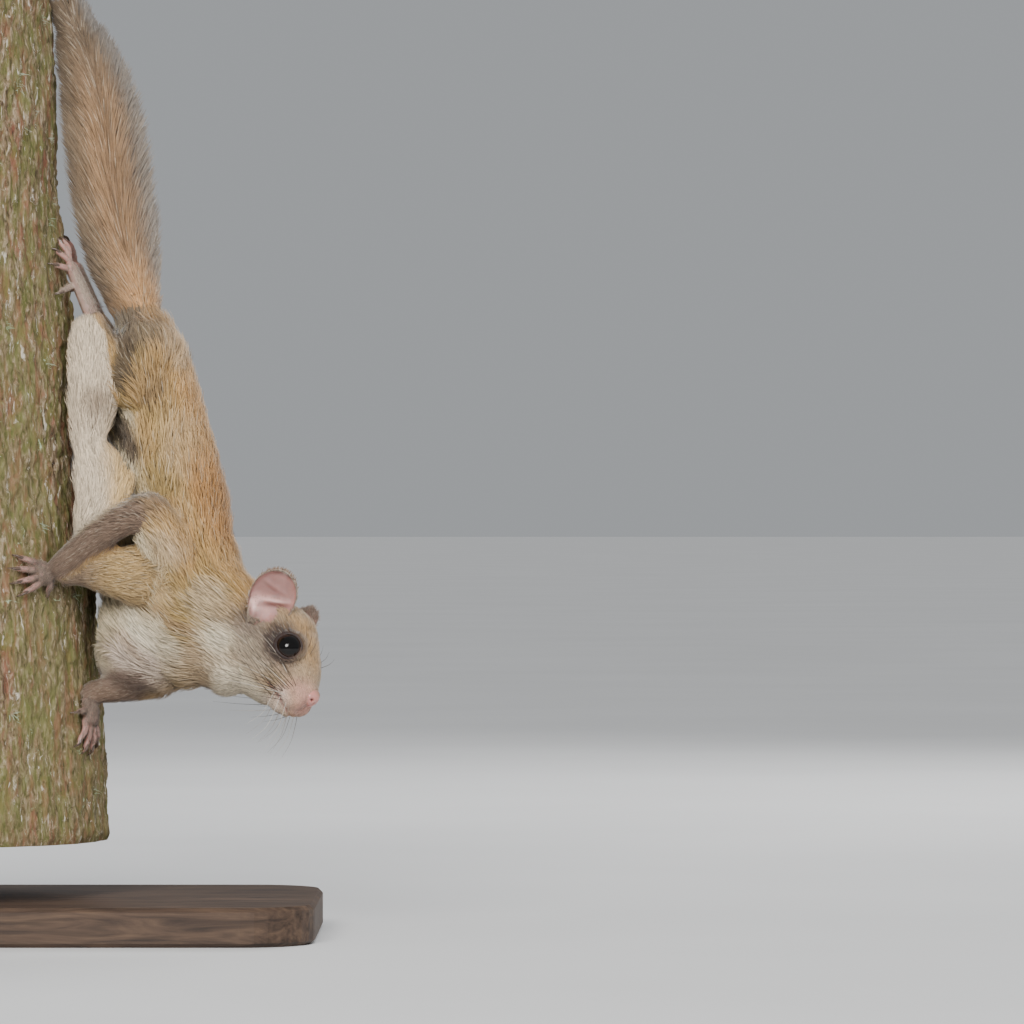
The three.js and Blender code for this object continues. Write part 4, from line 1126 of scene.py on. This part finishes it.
def ear_spot(rise, front, row):
    return bell((rise - row[0] - row[1] * front) / row[2], (front - row[3]) / row[4])


def ear(name, side):
    rows, cols = 64, 56
    rise, v = np.meshgrid(1.16 * (1 - (1 - np.linspace(0, 1, rows)) ** 1.35) - 0.16, np.linspace(-1, 1, cols),
                          indexing="ij")
    rise, v = rise.ravel(), v.ravel()
    n, turn = rows * cols, -v * side
    up, out = unit(mirrored(EAR_UP, side)), mirrored(EAR_OPEN, side)
    out = unit(out - out @ up * up)
    over = np.maximum(0, rise - 0.5) / 0.505
    half = np.where(rise < 0.5, 6.0 + 2.7 * np.sin(np.pi * np.clip(rise, -0.2, 0.5)),
                    8.7 * np.sqrt(np.maximum(1 - over**2, 0)))
    bowl = 4.6 * (1.2 - 0.75 * rise) * (0.5 + 0.5 * smooth(0, 0.45, rise))
    deep = 1.2 - bowl * (1 - v * v)
    for row in EAR_FORMS:
        deep = deep + row[5] * ear_spot(rise, turn, row)
    rim = np.maximum(smooth(0.80, 0.97, np.abs(v)), smooth(0.90, 0.99, rise))
    base = mirrored(EAR_ROOT, side) + up * (EAR_HEIGHT * rise)[:, None] \
        + np.cross(up, out) * (half * np.sin(np.pi / 2 * v))[:, None]
    front = base + out * (deep + 0.42 * rim)[:, None]
    back = base + out * (deep - (0.95 - 0.35 * rise) + 0.25 * rim)[:, None]
    grid = np.arange(n).reshape(rows, cols)
    quad = lambda *corners: np.stack([corner.ravel() for corner in corners], 1)
    edge = np.concatenate([grid[0], grid[1:, -1], grid[-1, -2::-1], grid[-2:0:-1, 0]])
    after = np.roll(edge, -1)
    faces = np.concatenate([quad(grid[:-1, :-1], grid[:-1, 1:], grid[1:, 1:], grid[1:, :-1]),
                            quad(grid[:-1, :-1], grid[1:, :-1], grid[1:, 1:], grid[:-1, 1:]) + n,
                            quad(edge, edge + n, after + n, after)])
    world = in_head(relaxed(np.concatenate([front, back]), faces, 2, 0.4))
    tone = plain((178, 132, 124), n)
    for row in EAR_PAINTED_LIGHT:
        tone = blend(tone, srgb(*row[5]), ear_spot(rise, turn, row) * row[6])
    # Painted shade: darker high in the bowl, in the cleft between lobe and ridge, and along the rim.
    shade = (1 - smooth(0.3, 0.9, np.abs(v))) * smooth(0.40, 0.55, rise) * smooth(1.0, 0.75, rise)
    veins = smooth(0.55, 0.95, wave_noise(front * (1, 1, 0.5), 3.2, 101))
    cleft = ear_spot(rise, turn, EAR_CLEFT_SHADE)
    for colour, share in (((140, 104, 98), shade * 0.6), (EAR_CLEFT_SHADE[5], cleft * EAR_CLEFT_SHADE[6]),
                          ((142, 112, 102), rim * 0.75), ((176, 112, 106), veins * 0.3)):
        tone = blend(tone, srgb(*colour), share)
    piece("ear_" + name + "_skin", world, facing_out(world, faces), "skin", BARE, replaces=["ear_" + name],
          colours=np.concatenate([tone, plain((158, 126, 112), n)]))
    ear_hair(name, side, in_head(front), in_head(back), rise, v, out @ HEAD, up @ HEAD)


def ear_hair(name, side, front, back, rise, v, out, up):
    """Short fine hair: over the back of the ear, along its rim and at the root of its front."""
    local = np.random.default_rng(7 + side)
    every = np.arange(len(rise))
    rim = every[((np.abs(v) > 0.93) | (rise > 0.985)) & (rise > 0.12)]
    root = every[(rise < -0.04) | ((rise < 0.1) & (np.abs(v) > 0.9))]
    level = np.zeros((len(rise), 3))
    found = []
    for ids, count, places, normal, lean, spread, low, high, tone in (
            (every, 1500, back, -out, level + up, 0.15, 1.4, 2.6, (150, 124, 104)),
            (rim, 420, front, out, unit(front - front.mean(0)) + up * 0.5, 0.2, 0.5, 1.1, (206, 184, 164)),
            (root, 300, front, out, level + (up + out * 0.3), 0.25, 1.0, 2.2, (196, 172, 146))):
        some = local.choice(ids, count)
        way = lean[some] + local.normal(0, spread, (count, 3))
        found.append((places[some], np.tile(normal, (count, 1)), way, local.uniform(low, high, count),
                      plain(tone, count)))
    at, n, way, length, tone = (np.concatenate(each) for each in zip(*found))
    curves, s = hair_lines(at, unit(way), length, 3)
    curves = curves + n[:, None] * 0.35 * np.sin(s * np.pi / 2)
    half = 0.09 + 0.05 * local.random(len(at))
    q = to_head(at)
    uv = np.stack([0.02 + 0.9 * (q[:, 0] + 50) / 60, 0.02 + 0.9 * (q[:, 2] + 5) / 45], 1)
    fur_piece(f"coat_ear_{name}", curves, unit(n), half, tinted(tone, at, 111 + side), uv, "fur_flank", soft=0)


# Whiskers

WHISKER_REACH = 122.8


def hair(points, root, sides=5, steps=14):
    t = np.linspace(0, 1, steps)
    centre, along = spline(points, t), tangents(points, t)
    a = unit(np.cross(along, (0.3, 0.2, 1)))
    b = np.cross(along, a)
    phi = np.arange(sides) * TURN / sides
    radius = root * (1 - 0.86 * t)
    ring = a[:, None] * np.cos(phi)[None, :, None] + b[:, None] * np.sin(phi)[None, :, None]
    return (centre[:, None] + ring * radius[:, None, None]).reshape(-1, 3), tube_faces(steps, sides)


def whiskers():
    local = np.random.default_rng(77)
    parts, tones = [], []

    def grow(path, root, colour):
        parts.append(hair(path, root))
        tones.append(plain(colour, len(parts[-1][0])))

    for side in SIDES.values():
        for row in range(4):
            for column in range(5):
                root = np.array([-3.2 - 1.75 * column, (4.6 + 0.95 * column ** 0.5) * side, -0.3 - 1.5 * row])
                length = (17 + 4.0 * column) * local.uniform(0.85, 1.1)
                way = unit([-0.55 - 0.13 * column, (0.80 - 0.06 * column) * side, 0.32 - 0.36 * row])
                sag = np.array([-0.26, -0.10 * side, -0.20]) * length * local.uniform(0.7, 1.2)
                for _ in range(12):
                    path = in_head([root - way * 0.8] + [root + way * length * far + sag * drop for far, drop in
                                                         ((0.33, 0.06), (0.68, 0.35), (0.95, 0.85))])
                    if hair(path, 0.15)[0][:, 0].max() < WHISKER_REACH:
                        break
                    length, sag = length * 0.93, sag * 0.93
                grow(path, 0.15, (196, 186, 172) if (row + column) % 3 == 2 else (48, 40, 36))
        for k in range(7):
            low = -1.4 * k + local.uniform(-0.4, 0.4)
            grow(in_head([(-5.5 - 0.5 * k, 7.6 * side, low), (-14, (12.4 - 0.1 * k) * side, low - 0.4),
                          (-25, (16.6 - 0.2 * k) * side, low + 0.4),
                          (-36 + 1.2 * k, (19.5 - 0.2 * k) * side, low + 2.2)]), 0.14, (44, 36, 32))
        for k in range(6):
            root = in_head([-4.0 - 1.3 * k, (4.9 + 0.25 * k) * side, -3.6 - 0.35 * k])
            length = (24 - 1.6 * k) * local.uniform(0.85, 1.1)
            lean = 0.25 + 0.07 * k
            ways = np.array([(0, 0, 0), (0.02 - 0.3 * lean, 0.20 * side, -0.30), (-0.6 * lean, 0.34 * side, -0.63),
                             (-1.3 * lean, 0.40 * side, -0.92)])
            grow(root + length * ways, 0.13, (196, 188, 176) if k % 2 else (120, 108, 98))
        for k in range(3):
            root = np.array([-12.5 - 2.0 * k, 6.4 * side, 12.2])
            way = unit([0.1 - 0.2 * k, 0.55 * side, 0.8])
            grow(in_head([root, root + way * 5 + (-0.8, 0, 0), root + way * 9.5 + (-3.2, 0, -0.6)]), 0.12,
                 (70, 58, 52))
    mat, tree, shader = material("whisker", Roughness=0.35)
    painted(tree, shader)
    piece("whiskers", *merged(parts), "fur_flank", mat, colours=np.concatenate(tones))


# Claws

HANDS = {"right": (41.5, 141, -4, -80), "left": (22.5, 86.5, -84, 75)}
FINGERS = [(24, 8), (8, 9.5), (-9, 9.5), (-26, 8)]
TOES = {"right": [(7, 268.5), (12, 267.5), (16, 264), (19, 259), (17, 249)],
        "left": [(-7, 270), (-12, 269), (-16, 265.5), (-19, 260.5), (-17, 250.5)]}
BALLS = {"right": (19.6, -13.8, 258.5), "left": (19.6, 15.8, 259.5)}
ANKLES = {"right": (28.6, -17.5, 238.2), "left": (28.0, 19.5, 239.0)}
TOE_START = (3.6, 1.8, 0, -2, -6)
CLAW = 3.4


def on_trunk(turn, z, lift):
    x, r = trunk_place(z)
    a = math.radians(turn)
    return np.array([x + (r + lift) * math.cos(a), -(r + lift) * math.sin(a), z])


def on_hand(side, along, out, lift):
    turn, height, heading, _ = HANDS[side]
    a = math.radians(heading)
    round_by = along * math.cos(a) - out * math.sin(a)
    rise = along * math.sin(a) + out * math.cos(a)
    return on_trunk(turn + math.degrees(round_by / trunk_place(height)[1]), height + rise, lift)


def claw(tip, end, out):
    root = tip + out * 0.2
    middle = (root + end) / 2 + out * 0.95
    start = root - unit(end - root) * 1.1 - out * 0.2
    return loft([(*start, 0.62, 0.72), (*(root + out * 0.25), 0.66, 0.8), (*middle, 0.46, 0.66),
                 (*end, 0.16, 0.2)], 16, 12, (0.6, 0.8), out)


def claws():
    mat, tree, shader = material("claw", Roughness=0.3, Coat_Weight=0.3)
    tone = ramp(tree, noise(tree, 700, 4, 0.6, (1, 1, 0.4)), [(0.3, (96, 78, 66)), (0.7, (58, 44, 38))])
    tree.links.new(tone, shader.inputs["Base Color"])
    for name in SIDES:
        thumb = HANDS[name][3]
        out = unit(on_hand(name, 0, 0, 10) - on_hand(name, 0, 0, 0))
        digits = [(3.0, (1.5 - i) * 2.1, spread, length) for i, (spread, length) in enumerate(FINGERS)]
        digits.append((-1.5, math.copysign(3.2, thumb), thumb, 3.8))
        parts = []
        for along, across, spread, length in digits:
            a = math.radians(spread)
            reach = lambda d, lift: on_hand(name, along + d * math.cos(a), across + d * math.sin(a), lift)
            parts.append(claw(reach(length, 1.5), reach(length + CLAW, -0.4), out))
        piece("claws_hand_" + name, *merged(parts), "skin", mat)
        parts = []
        ball, ankle = np.array(BALLS[name]), np.array(ANKLES[name])
        for start, (turn, height) in zip(TOE_START, TOES[name]):
            root = ball + unit(ball - ankle) * start
            out = unit(on_trunk(turn, height, 10) - on_trunk(turn, height, 0))
            tip = on_trunk(turn, height, 1.5)
            parts.append(claw(tip, on_trunk(turn, height, -0.4) + unit(tip - root) * CLAW * 0.8, out))
        piece("claws_foot_" + name, *merged(parts), "skin", mat)


# Trunk

def bark_depth(a, z):
    drift = 0.16 * np.sin(z / 47) + 0.1 * np.sin(z / 19 + 2)
    ridges = 0.55 * np.abs(np.sin(13 * (a + drift)))
    return 1.5 * (ridges + 0.3 * np.sin(z / 13 + 3 * np.sin(2 * a) + 2.4 * a) - 0.35)


def bark_fibre(p):
    """Finer relief: narrow plates that flake at their ends, with cracks between them."""
    warp = p + np.stack([wave_noise(p, 9, 211 + i, 1) for i in range(3)], 1) * (0.8, 0.8, 2.0)
    plates = wave_noise(warp * (1, 1, 0.28), 4.4, 201, 2)
    small = wave_noise(warp * (1, 1, 0.4), 1.9, 203, 2)
    flakes = wave_noise(warp * (1, 1, 0.7), 6.0, 205, 2)
    return 0.40 * np.sign(plates) * np.abs(plates) ** 0.5 + 0.34 * small + 0.34 * flakes \
        - 0.55 * bell(plates / 0.16)


def grid_round(around, levels):
    turn, level = np.meshgrid(np.arange(around) * TURN / around, levels)
    return turn.ravel(), level.ravel()


def trunk():
    around, rows = 364, 264
    turn, high = grid_round(around, np.linspace(TRUNK_LOW, TRUNK_HIGH, rows))
    _, r = trunk_place(high)
    edge = smooth(0, 2.5, np.minimum(high - TRUNK_LOW, TRUNK_HIGH - high))
    fibre = bark_fibre(round_trunk(turn, high, r)) * (0.25 + 0.75 * edge)
    v = round_trunk(turn, high, r + bark_depth(turn, high) - 0.25 + fibre - 1.0 * (1 - edge))
    piece("trunk_bark", v, facing_out(v, grid_faces(rows, around)), "bark", bark_material(), replaces=["trunk"])
    trunk_end("low", TRUNK_LOW + 0.05)
    trunk_end("high", TRUNK_HIGH - 0.05)


def trunk_end(name, z):
    """The sawn end: growth rings, a pith that is off centre, and fine radial checks."""
    around, rows = 220, 40
    turn, part = grid_round(around, np.linspace(0.001, 1, rows) ** 0.8)
    rim = (trunk_place(z)[1] + bark_depth(turn, z) - 1.1) * part
    v = round_trunk(turn, np.full(len(turn), z), rim)
    check = bell(np.sin(turn * 1.5 + 0.8) / 0.02) * smooth(0.2, 0.9, part)
    inward = 1 if name == "low" else -1
    v[:, 2] += inward * (0.05 * np.sin(part * 60) ** 2 + 0.5 * check)
    rings = 0.5 + 0.5 * np.sin(rim * 2.6 + 0.6 * wave_noise(v, 30, 211))
    tone = blend(plain((186, 150, 108), len(v)), srgb(150, 112, 74), rings**3 * 0.75)
    # The checks are also painted darker: painted shade in the cracks.
    tone = blend(tone, srgb(112, 76, 52), smooth(0.955, 0.965, part)) * (1 - 0.6 * check)[:, None]
    f = grid_faces(rows, around)
    if normals(v, f)[:, 2].mean() * inward > 0:
        f = f[:, ::-1]
    mat, tree, shader = material("sawn_end_" + name, Roughness=0.8)
    painted(tree, shader, ramp(tree, noise(tree, 1400, 5, 0.7), [(0.25, 0.72), (0.75, 1.0)]))
    bump(tree, shader, noise(tree, 2200, 4, 0.7), 0.0002, 0.6)
    piece("trunk_end_" + name, v, f, "bark", mat, colours=tone)


def bark_material():
    """Grey-brown fibres, darkest where their bump sinks: painted shade in the crevices over the bark's own colour;
    then reddish, mossy, olive, pale and lichen patches laid over one another.
    """
    mat, tree, shader = material("bark", Roughness=0.88, Specular_IOR_Level=0.25)
    fleck = noise(tree, 620, 6, 0.66, (1, 1, 0.30), 0.7)
    base = ramp(tree, fleck, [(0.35, (52, 40, 32)), (0.44, (98, 80, 62)), (0.53, (134, 114, 90)),
                              (0.62, (170, 150, 126)), (0.74, (214, 200, 182))])
    for size, detail, rough, stretch, warp, low, high, colour, most in (
            (230, 6, 0.66, 0.22, 0.5, 0.50, 0.60, (142, 88, 70), 0.66),
            (190, 7, 0.70, 0.36, 0.6, 0.44, 0.60, (104, 112, 56), 0.60),
            (30, 5, 0.60, 0.30, 0.6, 0.40, 0.62, (116, 116, 72), 0.34),
            (420, 6, 0.70, 0.24, 0.8, 0.60, 0.66, (220, 210, 194), 0.8),
            (90, 9, 0.74, 0.80, 1.4, 0.635, 0.67, (184, 202, 168), 0.8)):
        patch = ramp(tree, noise(tree, size, detail, rough, (1, 1, stretch), warp), [(low, 0.0), (high, 1.0)])
        base = mixed(tree, base, srgb(*colour), scaled(tree, patch, most))
    tree.links.new(base, shader.inputs["Base Color"])
    coarse = bump(tree, shader, fleck, 0.0012)
    bump(tree, shader, noise(tree, 1500, 6, 0.7, (1, 1, 0.3), 0.4), 0.0004, 0.8, coarse)
    return mat


def lichen():
    """Small drooping sprigs of lichen, scattered in drifts over the bark and clear of the animal."""
    tries, sprigs, blades, clear = 900, 150, 12, 10
    local = np.random.default_rng(401)
    a, z = local.uniform(0, TURN, tries), local.uniform(46, 360, tries)
    at = round_trunk(a, z, trunk_place(z)[1] + bark_depth(a, z))
    far = np.array([size_of(skin_v[::25] - q).min() for q in at])
    chosen = np.flatnonzero((far > clear) & (wave_noise(at, 34, 403) > 0.02))[:sprigs]
    facing = np.repeat(np.stack([np.cos(a), -np.sin(a), 0 * a], 1)[chosen], blades, axis=0)
    root = np.repeat(at[chosen], blades, axis=0)
    count = len(root)
    root = root + local.normal(0, 0.8, (count, 3)) * (1, 1, 1.6) - facing * 0.9
    way = unit(facing * 0.75 + local.normal(0, 0.5, (count, 3)))
    length = np.repeat(local.uniform(1.6, 4.4, len(chosen)), blades) * local.uniform(0.5, 1.0, count)
    curves, k = hair_lines(root, way, length + 0.8, 4)
    curves = curves + np.array([0, 0, -0.45]) * length[:, None, None] * k**2 \
        + local.normal(0, 0.3, (count, 1, 3)) * k**2
    dull, bright = srgb(150, 166, 120), srgb(196, 208, 180)
    tone = np.repeat(dull + (bright - dull) * local.random((len(chosen), 1)), blades, axis=0)
    uv = np.stack([0.02 + 0.9 * local.random(count), 0.02 + 0.9 * local.random(count)], 1)
    fur_piece("trunk_lichen", curves, facing, local.uniform(0.10, 0.19, count), tone, uv, "bark")


# Stand

def dress(mat, *nodes):
    for node in nodes:
        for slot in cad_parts[node].material_slots:
            slot.material = mat


def stand():
    mat, tree, shader = material("stand_wood", Roughness=0.62, Specular_IOR_Level=0.35, Coat_Weight=0.08,
                                 Coat_Roughness=0.45)
    grain = noise(tree, 26, 6, 0.6, (1, 9, 9), 1.1)
    pores = noise(tree, 260, 3, 0.6, (0.06, 1, 1))
    tone = ramp(tree, grain, [(0.28, (44, 34, 28)), (0.5, (72, 56, 45)), (0.72, (96, 76, 60))])
    dark = ramp(tree, pores, [(0.34, 0.55), (0.46, 1.0)])
    tree.links.new(mixed(tree, tone, dark, 1.0, "MULTIPLY"), shader.inputs["Base Color"])
    bump(tree, shader, pores, 0.0003, 0.5)
    dress(mat, "stand_base")
    mat, tree, shader = material("rod_metal", Metallic=1.0)
    lines = noise(tree, 900, 2, 0.5, (1, 1, 0.02))
    for key, low, high in (("Base Color", (150, 150, 148), (186, 186, 184)), ("Roughness", 0.28, 0.42)):
        tree.links.new(ramp(tree, lines, [(0.3, low), (0.7, high)]), shader.inputs[key])
    bump(tree, shader, lines, 0.0001, 0.4)
    dress(mat, "stand_rod_1", "stand_rod_2")


eyes()
nose()
for side_name, side_sign in SIDES.items():
    ear(side_name, side_sign)
whiskers()
claws()
trunk()
lichen()
stand()


# Camera, lights and floor, in metres

CAMERA_AT = (0.18984, -2.5, 0.164)
FOCAL, SENSOR = 226.46, 36
MIDDLE = (0.05, 0, 0.2)
FLOOR = 40.0
SKY = (0.72, 0.75, 0.78, 1)


def camera():
    data = bpy.data.cameras.new("camera")
    data.lens, data.sensor_width = FOCAL, SENSOR
    data.clip_start, data.clip_end = 0.05, 100
    obj = placed("camera", data)
    obj.location = CAMERA_AT
    obj.rotation_euler = (math.pi / 2, 0, 0)
    bpy.context.scene.camera = obj


def softbox(name, at, size, power, tint=(1, 1, 1), seen=True):
    """A round light that looks at the middle of the model; unless seen, it makes no highlights."""
    data = bpy.data.lights.new(name, "AREA")
    data.shape, data.size, data.energy, data.color = "DISK", size, power, tint
    obj = placed(name, data)
    obj.location = at
    obj.rotation_euler = (Vector(MIDDLE) - Vector(at)).to_track_quat("-Z", "Y").to_euler()
    obj.visible_glossy = seen


def floor():
    mesh = bpy.data.meshes.new("floor")
    corners = [(x * FLOOR, y * FLOOR, 0) for x, y in ((-1, -1), (1, -1), (1, 1), (-1, 1))]
    mesh.from_pydata(corners, [], [(0, 1, 2, 3)])
    mat, tree, shader = material("floor_paint", Roughness=0.9)
    tree.links.new(ramp(tree, noise(tree, 3, 3), [(0.3, 0.60), (0.7, 0.64)]), shader.inputs["Base Color"])
    mesh.materials.append(mat)
    placed("floor", mesh)


def studio():
    camera()
    floor()
    softbox("key", (-0.35, -2.1, 1.1), 0.9, 48, (1, 0.98, 0.95))
    softbox("fill", (1.7, -1.4, 0.6), 1.2, 15, (0.95, 0.98, 1), seen=False)
    softbox("rim", (0.8, 1.4, 1.1), 0.9, 22, seen=False)
    sun = bpy.data.lights.new("sun", "SUN")
    sun.energy, sun.angle = 1.5, 0.5
    obj = placed("sun", sun)
    obj.visible_glossy = False
    obj.rotation_euler = (math.radians(38), math.radians(8), 0)
    world = bpy.data.worlds.new("world")
    world.use_nodes = True
    sky = world.node_tree.nodes["Background"].inputs
    sky["Color"].default_value, sky["Strength"].default_value = SKY, 0.5
    bpy.context.scene.world = world


studio()
